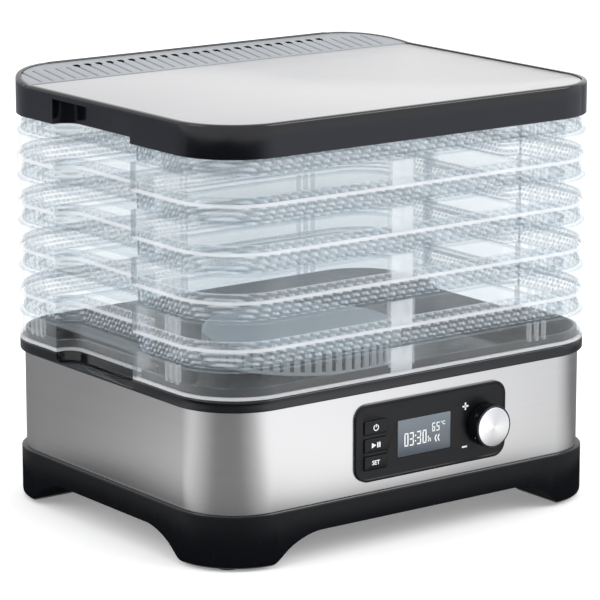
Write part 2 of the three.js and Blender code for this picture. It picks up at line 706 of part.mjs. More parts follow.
// The board hangs on two of its four bosses by screws; the other two only locate it.
function boardScrews() {
  return [BOSSES[0], BOSSES[3]].map(([x, z], i) => {
    const back = BOARD_FRONT + 1.6 + GAP;
    const body = join([rod(x, z, back, back + 1.8, 2.6, 10), rod(x, z, -127, back + 0.5, 1.1, 8)]);
    return piece("board_screw_" + (i + 1), body, zinc);
  });
}

function encoder() {
  const front = -129;
  const body = join([
    box(KNOB_X, (front + 2 + BOARD_FRONT - GAP) / 2, KNOB_Z, 12, BOARD_FRONT - GAP - front - 2, 12),
    rod(KNOB_X, KNOB_Z, front, front + 3, 4.2, 14),
  ]);
  const bore = rod(KNOB_X, KNOB_Z, front - 5, front + 5.5, 3.3, 14);
  return piece("knob_encoder", body.subtract(bore), zinc);
}

function knobShaft() {
  return piece("knob_shaft", rod(KNOB_X, KNOB_Z, -140, -124, 3, 14), aluminium);
}

function knobBody() {
  const back = -PANEL_FACE + 0.5;
  const front = -KNOB_FACE - 0.3;
  const r = KNOB_R;
  const profile = [[0, 140.3], [3.3, 140.3], [3.3, back], [r, back], [r - 0.2, front - 1], [r - 0.6, front]];
  profile.push([r - 0.9, front], [r - 0.9, front - 1.4], [0, front - 1.4]);
  return piece("knob_body", turnedForward(profile, 24, KNOB_X, KNOB_Z), glossBlack);
}

function knobCap() {
  const front = -KNOB_FACE;
  const r = KNOB_R - 1.2;
  const profile = [[0, front - 1.3], [r, front - 1.3], [r, front - 0.4], [r - 0.4, front], [0, front]];
  return piece("knob_cap", turnedForward(profile, 24, KNOB_X, KNOB_Z), aluminium);
}

// The assembly. Everything is placed round the middle of the rim, then moved back by half the knob's
// reach, so that the origin is at the middle of the whole object's footprint.
const lid = new THREE.Group();
lid.add(lidFrame(), lidPlate(), lidVentStrip());

const trays = new THREE.Group();
for (let number = 1; number <= TRAYS; number++) trays.add(tray(number), trayMesh(number));

const base = new THREE.Group();
base.add(baseTop(), baseDeck(), fanGuard(), steelBand(), basePan(), ...rubberFeet(), ...baseScrews(), cordGland());

const airflow = new THREE.Group();
airflow.add(motorBracket(), fanMotor(), motorShaft(), fanImpeller(), airDuct(), heatingCoil());
airflow.add(...coilHolders(), thermalCutout(), temperatureProbe());

const electrics = new THREE.Group();
electrics.add(powerBoard(), powerRelay(), terminalBlock(), wireLoom());

const panel = new THREE.Group();
panel.add(panelFascia(), displayLens(), lcdModule(), ...buttons(), ...switches(), controlBoard());
panel.add(...boardScrews(), encoder(), knobShaft(), knobBody(), knobCap());

const assembly = new THREE.Group();
assembly.position.y = KNOB_REACH / 2;
assembly.add(lid, trays, base, airflow, electrics, panel);

const dehydrator = new THREE.Group();
dehydrator.add(assembly);

export default dehydrator;
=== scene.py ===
import math

import bmesh
import bpy
from mathutils import Matrix, Vector


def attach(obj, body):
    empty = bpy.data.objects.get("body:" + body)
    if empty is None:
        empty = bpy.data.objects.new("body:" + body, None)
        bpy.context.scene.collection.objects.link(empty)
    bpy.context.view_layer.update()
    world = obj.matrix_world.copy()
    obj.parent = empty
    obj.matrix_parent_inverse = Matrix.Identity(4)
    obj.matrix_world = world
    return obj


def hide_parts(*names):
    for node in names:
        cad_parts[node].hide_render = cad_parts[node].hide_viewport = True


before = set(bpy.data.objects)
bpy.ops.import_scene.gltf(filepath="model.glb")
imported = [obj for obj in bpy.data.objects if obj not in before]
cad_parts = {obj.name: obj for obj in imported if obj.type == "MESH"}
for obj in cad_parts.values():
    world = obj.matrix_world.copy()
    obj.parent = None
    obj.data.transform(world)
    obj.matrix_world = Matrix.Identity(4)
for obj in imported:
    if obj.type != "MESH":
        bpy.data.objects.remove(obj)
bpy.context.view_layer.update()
scene = bpy.context.scene

# ------------------------------------------------------------
# Studio: a white floor in a white room, with two broad softboxes. Flat cards lie round the
# object, seen only in reflections. They give the steel, the lid and the trays their bright and
# dark bands.
MM = 0.001  # everything below is in millimetres, apart from the studio, which is in metres


def clear_selection():
    if bpy.context.object is not None and bpy.context.object.mode != "OBJECT":
        bpy.ops.object.mode_set(mode="OBJECT")
    bpy.ops.object.select_all(action="DESELECT")


class Wire:
    """The output of a shader node, with which sums can be written."""

    def __init__(self, finish, socket):
        self.finish = finish
        self.socket = socket

    def sum(self, operation, first, second):
        return self.finish.node("Math", {0: first, 1: second}, operation=operation)

    def __add__(self, other):
        return self.sum("ADD", self, other)

    def __sub__(self, other):
        return self.sum("SUBTRACT", self, other)

    def __mul__(self, other):
        return self.sum("MULTIPLY", self, other)

    def __gt__(self, other):
        return self.sum("GREATER_THAN", self, other)

    def __lt__(self, other):
        return self.sum("LESS_THAN", self, other)


OBJECT_COORDINATES = 3  # this output of the texture coordinates node


class Finish:
    """A material that is being made. node() adds any shader node and gives its output."""

    def __init__(self, name, tree=None):
        if tree is None:
            self.material = bpy.data.materials.new(name)
            self.material.use_nodes = True
            tree = self.material.node_tree
        self.tree = tree
        self.tree.nodes.clear()

    def node(self, kind, sockets={}, output=0, stops=None, **settings):
        node = self.tree.nodes.new("ShaderNode" + kind)
        for name, setting in settings.items():
            setattr(node, name, setting)
        if stops:
            ramp = node.color_ramp.elements
            for place, colour in stops[2:]:
                ramp.new(place)
            for stop, (place, colour) in zip(ramp, stops):
                stop.position = place
                stop.color = (*colour, 1) if len(colour) == 3 else colour
        for name, given in sockets.items():
            if isinstance(given, Wire):
                self.tree.links.new(given.socket, node.inputs[name])
            else:
                node.inputs[name].default_value = given
        return Wire(self, node.outputs[output]) if node.outputs else node

    def place(self, scale=(1, 1, 1), move=(0, 0, 0)):
        where = self.node("TexCoord", output=OBJECT_COORDINATES)
        return self.node("Mapping", {"Vector": where, "Location": move, "Scale": scale})

    def noise(self, scale, detail=2.0, stretch=(1, 1, 1)):
        where = self.place(stretch)
        return self.node("TexNoise", {"Vector": where, "Scale": scale, "Detail": detail})

    def colours(self, factor, low, high):
        low, high = (one if isinstance(one, Wire) else (*one, 1) for one in (low, high))
        sockets = {0: factor, 6: low, 7: high}  # the mix node's colour sockets are the last two
        return self.node("Mix", sockets, output=2, data_type="RGBA")

    def bump(self, height, strength, depth):
        return self.node("Bump", {"Height": height, "Strength": strength, "Distance": depth})

    def surface(self, shader):
        self.node("OutputMaterial", {"Surface": shader})
        return self.material

    def principled(self, sockets):
        return self.surface(self.node("BsdfPrincipled", sockets))


scene.view_settings.view_transform = "Standard"
scene.cycles.transparent_max_bounces = 40
scene.cycles.max_bounces = 10
scene.cycles.glossy_bounces = 5

world = bpy.data.worlds.new("white_room")
world.use_nodes = True
scene.world = world
sky = Finish("sky", world.node_tree)
sky_light = sky.node("Background", {"Color": (1, 1, 1, 1), "Strength": 1.05})
sky.node("OutputWorld", {"Surface": sky_light})

clear_selection()
bpy.ops.mesh.primitive_plane_add(size=14)
floor = bpy.context.object
floor.name = floor.data.name = "studio_floor"
paper = Finish("white_paper")
tooth = paper.noise(40)
white_paper = paper.principled(
    {
        "Base Color": paper.colours(tooth, (0.93, 0.93, 0.93), (0.95, 0.95, 0.95)),
        "Roughness": 0.9,
        "Specular IOR Level": 0.1,
        "Emission Color": (1, 1, 1, 1),
        "Emission Strength": 0.24,
    }
)
floor.data.materials.append(white_paper)


def softbox(name, place, aim, width, height, power):
    light = bpy.data.lights.new(name, "AREA")
    light.shape = "RECTANGLE"
    light.size = width
    light.size_y = height
    light.energy = power
    lamp = bpy.data.objects.new(name, light)
    lamp.location = place
    lamp.rotation_euler = (Vector(place) - Vector(aim)).to_track_quat("Z", "Y").to_euler()
    scene.collection.objects.link(lamp)


OBJECT_MIDDLE = (0, 0, 0.15)
softbox("key", (1.6, -1.9, 1.7), OBJECT_MIDDLE, 1.6, 1.4, 26)
softbox("fill", (-2.0, 0.4, 1.5), OBJECT_MIDDLE, 1.2, 1.2, 8)


# The reflecting cards lie round the object, brighter and darker by direction. The inner ring is
# the one that the steel band mirrors, the outer ring the one that the lid and the trays mirror.
# Each stop is a share of a full turn, counted from the x axis, and the light there.
INNER_RING = [
    (0.000, 0.22),
    (0.100, 0.22),
    (0.372, 0.29),
    (0.395, 0.35),
    (0.425, 0.52),
    (0.480, 0.92),
    (0.530, 0.58),
    (0.570, 0.26),
    (0.650, 0.26),
    (0.700, 0.64),
    (0.745, 1.36),
    (0.800, 1.36),
    (0.866, 0.94),
    (0.900, 0.70),
    (0.950, 0.22),
    (1.000, 0.22),
]
OUTER_RING = [
    (0.000, 0.40),
    (0.300, 0.38),
    (0.390, 0.40),
    (0.425, 0.38),
    (0.450, 0.12),
    (0.500, 0.02),
    (0.690, 0.02),
    (0.745, 0.18),
    (0.790, 0.70),
    (0.830, 1.00),
    (0.900, 1.00),
    (0.960, 0.75),
]
CARD_BLUE = (0.46, 0.485, 0.55)  # the outer ring is a little bluer than the inner one
OBJECT_HALF = (0.12, 0.088)  # distances are counted from a box of this half size
FADE_IN = (0.11, 0.17)  # from the dark floor beside the object to the inner ring
FADE_OUT = (0.45, 0.85)  # from the inner ring to the outer one
NEAREST_LIGHT = 0.04
CARD_STRENGTH = 2.0
clear_selection()
bpy.ops.mesh.primitive_plane_add(size=9, location=(0, 0, 0.003))
cards = bpy.context.object
cards.name = cards.data.name = "reflecting_cards"
board = Finish("reflecting_cards")
spot = board.place()
east = board.node("SeparateXYZ", {0: spot})
north = board.node("SeparateXYZ", {0: spot}, output=1)
bearing = board.node("Math", {0: north, 1: east}, operation="ARCTAN2") * (0.5 / math.pi)
bearing = board.node("Math", {0: bearing, 1: 0.0, 2: 1.0}, operation="WRAP")
inner = board.node(
    "ValToRGB",
    {0: bearing},
    stops=[(place, (light / CARD_STRENGTH,) * 3) for place, light in INNER_RING],
)
outer = board.node(
    "ValToRGB",
    {0: bearing},
    stops=[(place, [light * part for part in CARD_BLUE]) for place, light in OUTER_RING],
)


def past_box(coordinate, half):
    """How far a coordinate lies outside the box round the object, squared."""
    size = board.node("Math", {0: coordinate}, operation="ABSOLUTE")
    past = board.node("Math", {0: size - half, 1: 0.0}, operation="MAXIMUM")
    return past * past


squares = past_box(east, OBJECT_HALF[0]) + past_box(north, OBJECT_HALF[1])
away = board.node("Math", {0: squares}, operation="SQRT")
far = board.node("MapRange", {0: away, 1: FADE_OUT[0], 2: FADE_OUT[1]})
near = board.node("MapRange", {0: away, 1: FADE_IN[0], 2: FADE_IN[1], 3: NEAREST_LIGHT, 4: 1.0})
card_colour = board.colours(near, (0, 0, 0), board.colours(far, inner, outer))
glow = board.node("Emission", {"Color": card_colour, "Strength": CARD_STRENGTH})
cards.data.materials.append(board.surface(glow))
cards.visible_camera = False
cards.visible_diffuse = False
cards.visible_transmission = False
cards.visible_shadow = False

TOWARDS_CAMERA = Vector((-0.5827, -0.7819, 0.2217))
lens = bpy.data.cameras.new("camera")
lens.lens = 201.24
lens.sensor_width = 36
lens.clip_start = 0.05
camera = bpy.data.objects.new("camera", lens)
camera.location = (-1.3455, -1.7989, 0.6491)
camera.rotation_euler = TOWARDS_CAMERA.to_track_quat("Z", "Y").to_euler()
scene.collection.objects.link(camera)
scene.camera = camera

# ------------------------------------------------------------
# Base pan: an injection-moulded tub in satin black plastic. Four hollow legs stand at its
# corners with arched openings between them, and its lower edge is well rounded.
HALF_W = 165.0
HALF_D = 133.5
MIDDLE_Y = 5.0  # the middle of the rim lies this far behind the origin
CORNER = 46.0
LEG_BOTTOM = 1.5
PAN_FLOOR = 20.0
PAN_TOP = 37.0
PAN_WALL = 3.0
LEG_FOOT = 35.0  # a leg's width at its foot, and where it meets the pan
LEG_HEAD = 66.0
BEYOND = 200.0  # tools that run past the object reach this far
HAIR = 1e-5  # points closer than this, in metres, count as level


def choose(piece, kind, wanted):
    """In edit mode, selects only the points, edges or faces that are wanted."""
    bpy.ops.mesh.select_mode(type=kind)
    bpy.ops.mesh.select_all(action="DESELECT")
    mesh = bmesh.from_edit_mesh(piece.data)
    for part in {"VERT": mesh.verts, "EDGE": mesh.edges, "FACE": mesh.faces}[kind]:
        if wanted(part):
            part.select_set(True)
    mesh.select_flush_mode()
    bmesh.update_edit_mesh(piece.data)


def work_on(piece, mode="OBJECT"):
    clear_selection()
    bpy.context.view_layer.objects.active = piece
    piece.select_set(True)
    if mode == "EDIT":
        bpy.ops.object.mode_set(mode="EDIT")


def is_upright(edge):
    a, b = (v.co for v in edge.verts)
    return abs(a.z - b.z) > HAIR and abs(a.x - b.x) + abs(a.y - b.y) < HAIR / 10


def middle_of(edge):
    return (edge.verts[0].co + edge.verts[1].co) / 2


def block(name, low, high, corner=0.0, steps=16):
    """A box between two corners in millimetres, with its upright edges rounded."""
    clear_selection()
    middle = [(a + b) / 2 * MM for a, b in zip(low, high)]
    bpy.ops.mesh.primitive_cube_add(size=1, location=middle)
    piece = bpy.context.object
    piece.name = piece.data.name = name
    piece.scale = [(b - a) * MM for a, b in zip(low, high)]
    bpy.ops.object.transform_apply(location=True, rotation=True, scale=True)
    if corner:
        work_on(piece, "EDIT")
        choose(piece, "EDGE", is_upright)
        bpy.ops.mesh.bevel(offset=corner * MM, segments=steps, affect="EDGES")
        clear_selection()
    return piece


def plan_block(name, inset, low, high, steps=16):
    """A block with the object's rounded plan, moved inwards by inset."""
    x = HALF_W - inset
    y = HALF_D - inset
    return block(name, (-x, MIDDLE_Y - y, low), (x, MIDDLE_Y + y, high), CORNER - inset, steps)


def change(piece, kind, **settings):
    work_on(piece)
    modifier = piece.modifiers.new(kind.lower(), kind)
    for name, setting in settings.items():
        setattr(modifier, name, setting)
    bpy.ops.object.modifier_apply(modifier=modifier.name)


def cut(piece, tools, operation="DIFFERENCE"):
    for tool in tools:
        change(piece, "BOOLEAN", object=tool, operation=operation, solver="EXACT")
        bpy.data.objects.remove(tool)
    return piece


def soften(piece, width, segments=2, angle=40):
    """Rounds every edge sharper than an angle, and shades the rest smooth."""
    if width:
        change(
            piece,
            "BEVEL",
            width=width * MM,
            segments=segments,
            limit_method="ANGLE",
            angle_limit=math.radians(angle),
            miter_outer="MITER_ARC",
        )
    work_on(piece)
    bpy.ops.object.shade_smooth_by_angle(angle=math.radians(angle))


def fit(piece, finishes, body, slot, *nodes):
    """Gives a piece its materials and its body, and hides the CAD nodes that it stands for. The
    slot is not used.
    """
    piece.data.materials.clear()
    for finish in finishes:
        piece.data.materials.append(finish)
    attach(piece, body)
    if nodes:
        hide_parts(*nodes)


def moulded(name, colour, roughness, grain=0.05, grain_scale=900.0, shine=0.5):
    """Moulded plastic: a faint cloudiness in colour and gloss over a fine moulded grain."""
    plastic = Finish(name)
    cloud = plastic.noise(9, 3)
    handling = plastic.noise(60, 4)
    base = plastic.colours(cloud, [c * 0.85 for c in colour], [c * 1.15 for c in colour])
    return plastic.principled(
        {
            "Base Color": base,
            "Roughness": handling * 0.12 + (roughness - 0.06),
            "Specular IOR Level": shine,
            "Normal": plastic.bump(plastic.noise(grain_scale), grain, 0.0002),
        }
    )


satin_black = moulded("satin_black", (0.0035, 0.004, 0.0055), 0.28, shine=0.18)


def arch_tool(name, along_x):
    """The space between two legs: flat on top, with a curved run down to each foot."""
    half = HALF_W if along_x else HALF_D
    foot = half - LEG_FOOT
    x, y = (foot, BEYOND) if along_x else (BEYOND, foot)
    piece = block(name, (-x, MIDDLE_Y - y, -5), (x, MIDDLE_Y + y, PAN_FLOOR))
    work_on(piece, "EDIT")
    choose(piece, "VERT", lambda point: point.co.z > 0)
    shrink = (half - LEG_HEAD) / foot
    centre = (0, MIDDLE_Y * MM, PAN_FLOOR * MM)
    size = (shrink, 1, 1) if along_x else (1, shrink, 1)
    bpy.ops.transform.resize(value=size, center_override=centre)

    def is_crown_edge(edge):
        a, b = (v.co for v in edge.verts)
        long_way = abs(a.x - b.x) < HAIR if along_x else abs(a.y - b.y) < HAIR
        return long_way and min(a.z, b.z) > 0.0

    choose(piece, "EDGE", is_crown_edge)
    bpy.ops.mesh.bevel(offset=16 * MM, segments=8, affect="EDGES")
    clear_selection()
    return piece


pan = plan_block("base_pan_shell", 0, LEG_BOTTOM, PAN_TOP, 20)
work_on(pan, "EDIT")
choose(pan, "EDGE", lambda edge: not is_upright(edge) and middle_of(edge).z < 0.01)
bpy.ops.mesh.bevel(offset=4 * MM, segments=5, affect="EDGES")
choose(pan, "EDGE", lambda edge: not is_upright(edge) and middle_of(edge).z > PAN_TOP * MM - HAIR)
bpy.ops.mesh.bevel(offset=0.8 * MM, segments=3, affect="EDGES")
clear_selection()
cut(pan, [plan_block("tub", PAN_WALL, PAN_FLOOR + 2.5, PAN_TOP - 3)])
cut(pan, [plan_block("tub_mouth", 7, PAN_TOP - 4, PAN_TOP + 3)])
for sx in (-1, 1):
    for sy in (-1, 1):
        low_x, high_x = sorted((sx * (HALF_W - 32), sx * (HALF_W - PAN_WALL)))
        low_y, high_y = sorted((sy * (HALF_D - 30.5), sy * (HALF_D - PAN_WALL)))
        low = (low_x, MIDDLE_Y + low_y, LEG_BOTTOM + PAN_WALL)
        hollow = block("leg_hollow", low, (high_x, MIDDLE_Y + high_y, PAN_FLOOR + PAN_WALL))
        cut(hollow, [plan_block("leg_limit", PAN_WALL, 0, 30)], "INTERSECT")
        cut(pan, [hollow])
cut(pan, [arch_tool("arch_along_x", True), arch_tool("arch_along_y", False)])
soften(pan, 0.7)
fit(pan, [satin_black], "base", "black_plastic", "base_pan")

# Rubber pads under the legs, and the four long screws that hold the base together.
rubber = moulded("rubber", (0.012, 0.012, 0.013), 0.75, 0.3, 500)


def metal(name, colour, roughness, scale, streak=0.18):
    """Bare metal: fine noise gives its turning or plating marks."""
    work = Finish(name)
    marks = work.noise(scale, 5)
    dark = [c * (1 - streak) for c in colour]
    bright = [min(1, c * (1 + streak)) for c in colour]
    base = work.colours(marks, dark, bright)
    return work.principled(
        {
            "Base Color": base,
            "Metallic": 1.0,
            "Roughness": marks * 0.2 + (roughness - 0.1),
            "Normal": work.bump(marks, 0.08, 0.0002),
        }
    )


zinc = metal("zinc", (0.55, 0.56, 0.58), 0.35, 300)


def dress(finish, *names):
    """Gives a finish to CAD nodes that are shown as they are."""
    for name in names:
        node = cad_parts[name]
        if not node.material_slots:
            node.data.materials.append(finish)
        for slot in node.material_slots:
            slot.material = finish


dress(rubber, "rubber_foot_front_left", "rubber_foot_front_right", "cord_gland")
dress(rubber, "rubber_foot_rear_left", "rubber_foot_rear_right")
dress(zinc, "base_screw_1", "base_screw_2", "base_screw_3", "base_screw_4")

# ------------------------------------------------------------
# Steel band: one strip of brushed stainless sheet bent round the base, with the grain running
# along it. It is clipped over the pan's rim and cut out behind the control panel.
STEEL_INSET = 3.3
STEEL_SHEET = 0.8
STEEL_TOP = 105.4

brushed = Finish("brushed_steel")
fine = brushed.noise(1.0, 3, (6, 6, 2400))
broad = brushed.noise(1.0, 2, (3, 3, 260))
grain = fine * 0.6 + broad * 0.4
brushed_steel = brushed.principled(
    {
        "Base Color": brushed.colours(grain, (0.65, 0.65, 0.66), (0.72, 0.72, 0.725)),
        "Metallic": 1.0,
        "Roughness": grain * 0.10 + 0.19,
        "Anisotropic": 0.5,
        "Normal": brushed.bump(fine, 0.02, 0.0001),
    }
)
band = plan_block("steel_band_sheet", STEEL_INSET, PAN_TOP + 0.3, STEEL_TOP, 24)
cut(band, [plan_block("band_inside", STEEL_INSET + STEEL_SHEET, PAN_TOP - 5, STEEL_TOP + 5, 24)])
cut(band, [block("panel_hole", (-50, -140, 50), (69, -115, 92))])
soften(band, 0)
fit(band, [brushed_steel], "base", "brushed_steel", "steel_band")

# ------------------------------------------------------------
# Base top: the black rim and collar that carry the trays. The collar stands inside the lowest
# skirt, and both sides have a finger pocket. The sunken deck carries the fan guard.
RIM_BOTTOM = 105.7
LEDGE = 113.5
COLLAR_TOP = 120.5
DECK_TOP = 100.5
OUTLET_R = 62.0
RECESS_FRONT = MIDDLE_Y - 37.0
RECESS_REAR = MIDDLE_Y + 55.0
RECESS_DEPTH = 14.0


def finger_tool(side, grow, low, high):
    """The space of one finger recess, grown outwards."""
    inner = side * (HALF_W - RECESS_DEPTH - grow)
    low_x, high_x = sorted((inner, side * (HALF_W + 10)))
    front = RECESS_FRONT - grow
    rear = RECESS_REAR + grow
    piece = block("finger_space", (low_x, front, low), (high_x, rear, high))
    for place, radius, steps in ((front, 2 + grow, 4), (rear, 11 + grow, 10)):
        work_on(piece, "EDIT")
        choose(
            piece,
            "EDGE",
            lambda edge: is_upright(edge)
            and abs(middle_of(edge).x - inner * MM) < HAIR
            and abs(middle_of(edge).y - place * MM) < HAIR,
        )
        bpy.ops.mesh.bevel(offset=radius * MM, segments=steps, affect="EDGES")
        clear_selection()
    return piece


def dipped_block(name, inset, low, high, steps=16):
    """The plan at an inset, with both finger recesses dipping in by the same amount."""
    piece = plan_block(name, inset, low, high, steps)
    return cut(piece, [finger_tool(side, inset, low - 1, high + 1) for side in (-1, 1)])


def join(pieces):
    clear_selection()
    for piece in pieces:
        piece.select_set(True)
    bpy.context.view_layer.objects.active = pieces[0]
    bpy.ops.object.join()
    return pieces[0]


gloss_black = moulded("gloss_black", (0.0035, 0.004, 0.0055), 0.12, 0.012, 1400)

rim = plan_block("base_top_rim", 0, RIM_BOTTOM, LEDGE, 24)
work_on(rim, "EDIT")
choose(rim, "EDGE", lambda edge: not is_upright(edge))
bpy.ops.mesh.bevel(offset=0.9 * MM, segments=3, affect="EDGES")
clear_selection()
cut(rim, [dipped_block("collar", 4, LEDGE - 3, COLLAR_TOP, 24)], "UNION")
cut(rim, [plan_block("deck", 5.5, DECK_TOP - 2.5, LEDGE - 2, 24)], "UNION")
cut(rim, [dipped_block("well", 6.4, DECK_TOP, COLLAR_TOP + 5, 24)])
cut(rim, [finger_tool(side, 0, 107.5, COLLAR_TOP + 5) for side in (-1, 1)])
clear_selection()
bpy.ops.mesh.primitive_cylinder_add(
    vertices=96,
    radius=OUTLET_R * MM,
    depth=40 * MM,
    location=(0, MIDDLE_Y * MM, DECK_TOP * MM),
)
outlet = bpy.context.object
bpy.ops.object.transform_apply(location=True, rotation=True, scale=True)
cut(rim, [outlet])
soften(rim, 0.4)
fit(rim, [gloss_black], "base", "black_plastic", "base_top", "base_deck")

# ------------------------------------------------------------
# Fan guard: a shallow round cap in pale plastic, clipped over the fan, with sixty upright
# slots in its wall that let the warm air out sideways.
GUARD_R = 69.0
GUARD_FOOT = 100.8
GUARD_TOP = 120.5
GUARD_SLOTS = 60
SLOT_HALF = 1.45

pale = Finish("pale_guard_plastic")
mottle = pale.noise(14, 3)
pale_plastic = pale.principled(
    {
        "Base Color": pale.colours(mottle, (0.76, 0.80, 0.83), (0.86, 0.89, 0.91)),
        "Roughness": pale.noise(80, 3) * 0.15 + 0.3,
        "Normal": pale.bump(pale.noise(700), 0.08, 0.0002),
    }
)
clear_selection()
bpy.ops.mesh.primitive_cylinder_add(
    vertices=120,
    radius=GUARD_R * MM,
    depth=(GUARD_TOP - GUARD_FOOT) * MM,
    location=(0, MIDDLE_Y * MM, (GUARD_TOP + GUARD_FOOT) / 2 * MM),
)
guard = bpy.context.object
guard.name = guard.data.name = "fan_guard_cap"
bpy.ops.object.transform_apply(location=True, rotation=True, scale=True)
work_on(guard, "EDIT")
choose(guard, "EDGE", lambda edge: middle_of(edge).z > GUARD_TOP * MM - HAIR)
bpy.ops.mesh.bevel(offset=4 * MM, segments=5, affect="EDGES")
choose(guard, "FACE", lambda face: face.normal.z < -0.9)
bpy.ops.mesh.delete(type="FACE")
clear_selection()
change(guard, "SOLIDIFY", thickness=2.2 * MM, offset=-1)
slot_low = (GUARD_R - 8, MIDDLE_Y - SLOT_HALF, GUARD_FOOT + 2.0)
slot_high = (GUARD_R + 5, MIDDLE_Y + SLOT_HALF, GUARD_TOP - 3.2)
to_axis = Matrix.Translation((0, MIDDLE_Y * MM, 0))
cutters = []
for i in range(GUARD_SLOTS):
    tool = block("slot", slot_low, slot_high)
    turn = Matrix.Rotation(math.tau * i / GUARD_SLOTS, 4, "Z")
    tool.data.transform(to_axis @ turn @ to_axis.inverted())
    cutters.append(tool)
cut(guard, [join(cutters)])
soften(guard, 0.3)
fit(guard, [pale_plastic], "base", "grey_plastic", "fan_guard")

# ------------------------------------------------------------
# Fan, duct and heater under the guard: a black fan on a motor, a sheet-metal duct, a ring-shaped
# heating element held by mica plates, a thermal cut-out and a temperature probe.
fan_black = moulded("fan_plastic", (0.02, 0.021, 0.023), 0.4)
dress(fan_black, "fan_impeller")
dress(zinc, "motor_bracket", "fan_motor", "air_duct", "motor_shaft", "temperature_probe")
dress(zinc, "knob_encoder", "board_screw_1", "board_screw_2")
heater_metal = metal("heater_metal", (0.24, 0.22, 0.20), 0.5, 120, streak=0.35)
dress(heater_metal, "heating_coil")
mica = Finish("mica_sheet")
flakes = mica.node("TexVoronoi", {"Vector": mica.place(), "Scale": 260.0}, output=1)
flake_shade = mica.node("SeparateColor", {0: flakes})
mica_sheet = mica.principled(
    {
        "Base Color": mica.colours(flake_shade, (0.42, 0.36, 0.25), (0.60, 0.54, 0.42)),
        "Roughness": flake_shade * 0.3 + 0.35,
    }
)
dress(mica_sheet, "coil_holder_1", "coil_holder_2", "coil_holder_3", "coil_holder_4")
dress(fan_black, "thermal_cutout", "power_relay")

# ------------------------------------------------------------
# Electrics: two glass-fibre circuit boards in green resist with copper tracks, a relay, a white
# terminal block and the wire loom in grey sleeving.
resist = Finish("circuit_board")
tracks = resist.node(
    "TexBrick",
    {
        "Vector": resist.place((220, 220, 220)),
        "Color1": (0.010, 0.085, 0.035, 1),
        "Color2": (0.014, 0.110, 0.045, 1),
        "Mortar": (0.030, 0.200, 0.080, 1),
        "Scale": 1.0,
        "Mortar Size": 0.05,
        "Row Height": 0.6,
    },
)
circuit_board = resist.principled(
    {"Base Color": tracks, "Roughness": resist.noise(200) * 0.2 + 0.3}
)
dress(circuit_board, "power_board", "control_board")
pale_nylon = moulded("pale_nylon", (0.62, 0.63, 0.62), 0.45)
dress(pale_nylon, "terminal_block")
sleeving = moulded("loom_sleeving", (0.10, 0.105, 0.11), 0.6, 0.4, 300)
dress(sleeving, "wire_loom")
dress(satin_black, "switch_power", "switch_start", "switch_set")

# ------------------------------------------------------------
# Control panel: a smooth black moulding with a raised edge, let into the front of the steel.
PANEL_X = 9.5
PANEL_Z = 71.0
PANEL_W = 127.0
PANEL_H = 52.5
PANEL_FACE = MIDDLE_Y - 132.0
PANEL_BACK = MIDDLE_Y - 130.5
WINDOW = (3.4, 69.8)
WINDOW_HOLE = (45.2, 25.6)
WINDOW_GLASS = (44.6, 25.0)
BUTTON_X = -37.7
BUTTONS = (("power", 81.3), ("start", 69.3), ("set", 57.3))


def runs_forward(edge):
    a, b = (v.co for v in edge.verts)
    return abs(a.y - b.y) > HAIR and abs(a.x - b.x) + abs(a.z - b.z) < HAIR / 10


def plate(name, x, z, width, height, front, back, corner, steps=8):
    """A plate facing the front, with its corners rounded."""
    low = (x - width / 2, front, z - height / 2)
    high = (x + width / 2, back, z + height / 2)
    piece = block(name, low, high)
    if corner:
        work_on(piece, "EDIT")
        choose(piece, "EDGE", runs_forward)
        bpy.ops.mesh.bevel(offset=corner * MM, segments=steps, affect="EDGES")
        clear_selection()
    return piece


panel_black = moulded("panel_black", (0.003, 0.0035, 0.0045), 0.3, 0.05, 1600, 0.28)
panel_size = (PANEL_X, PANEL_Z, PANEL_W, PANEL_H)
fascia = plate("panel_fascia_moulding", *panel_size, PANEL_FACE, PANEL_BACK + 3, 10, 12)
work_on(fascia, "EDIT")
choose(fascia, "FACE", lambda face: face.normal.y < -0.9)
bpy.ops.mesh.inset(thickness=1.5 * MM)
bpy.ops.mesh.inset(thickness=0.4 * MM, depth=-0.35 * MM)
clear_selection()
through = (PANEL_FACE - 2, PANEL_BACK + 6)
cut(fascia, [plate("lens_hole", *WINDOW, *WINDOW_HOLE, *through, 0)])
for _, z in BUTTONS:
    cut(fascia, [plate("button_hole", BUTTON_X, z, 19.2, 9.6, *through, 1.2, 4)])
soften(fascia, 0.25)
fit(fascia, [panel_black], "base", "gloss_black", "panel_fascia")

# Buttons: three soft-cornered caps in the panel's holes, with their symbols printed in white.
INK = 0.12  # how thick a printed mark is
white_ink = moulded("white_ink", (0.82, 0.84, 0.85), 0.5, 0.02)


def lettering(name, words, x, z, height, front, bold):
    """Printed words, as a thin raised film."""
    clear_selection()
    bpy.ops.object.text_add(location=(x * MM, front * MM, z * MM), rotation=(math.pi / 2, 0, 0))
    piece = bpy.context.object
    piece.name = name
    piece.data.body = words
    piece.data.size = height * MM * 1.37  # the font's capitals are 1 / 1.37 of its size
    piece.data.align_x = "CENTER"
    piece.data.align_y = "CENTER"
    piece.data.extrude = INK * MM / 2
    piece.data.offset = bold * MM
    bpy.ops.object.convert(target="MESH")
    piece = bpy.context.object
    bpy.ops.object.transform_apply(location=True, rotation=True, scale=True)
    return piece


def bar(name, x, z, width, height, front, turn=0.0):
    """A printed bar, turned about its middle."""
    low = (x - width / 2, front - INK / 2, z - height / 2)
    high = (x + width / 2, front + INK / 2, z + height / 2)
    piece = block(name, low, high)
    to_middle = Matrix.Translation((x * MM, front * MM, z * MM))
    turned = Matrix.Rotation(math.radians(turn), 4, "Y")
    piece.data.transform(to_middle @ turned @ to_middle.inverted())
    return piece


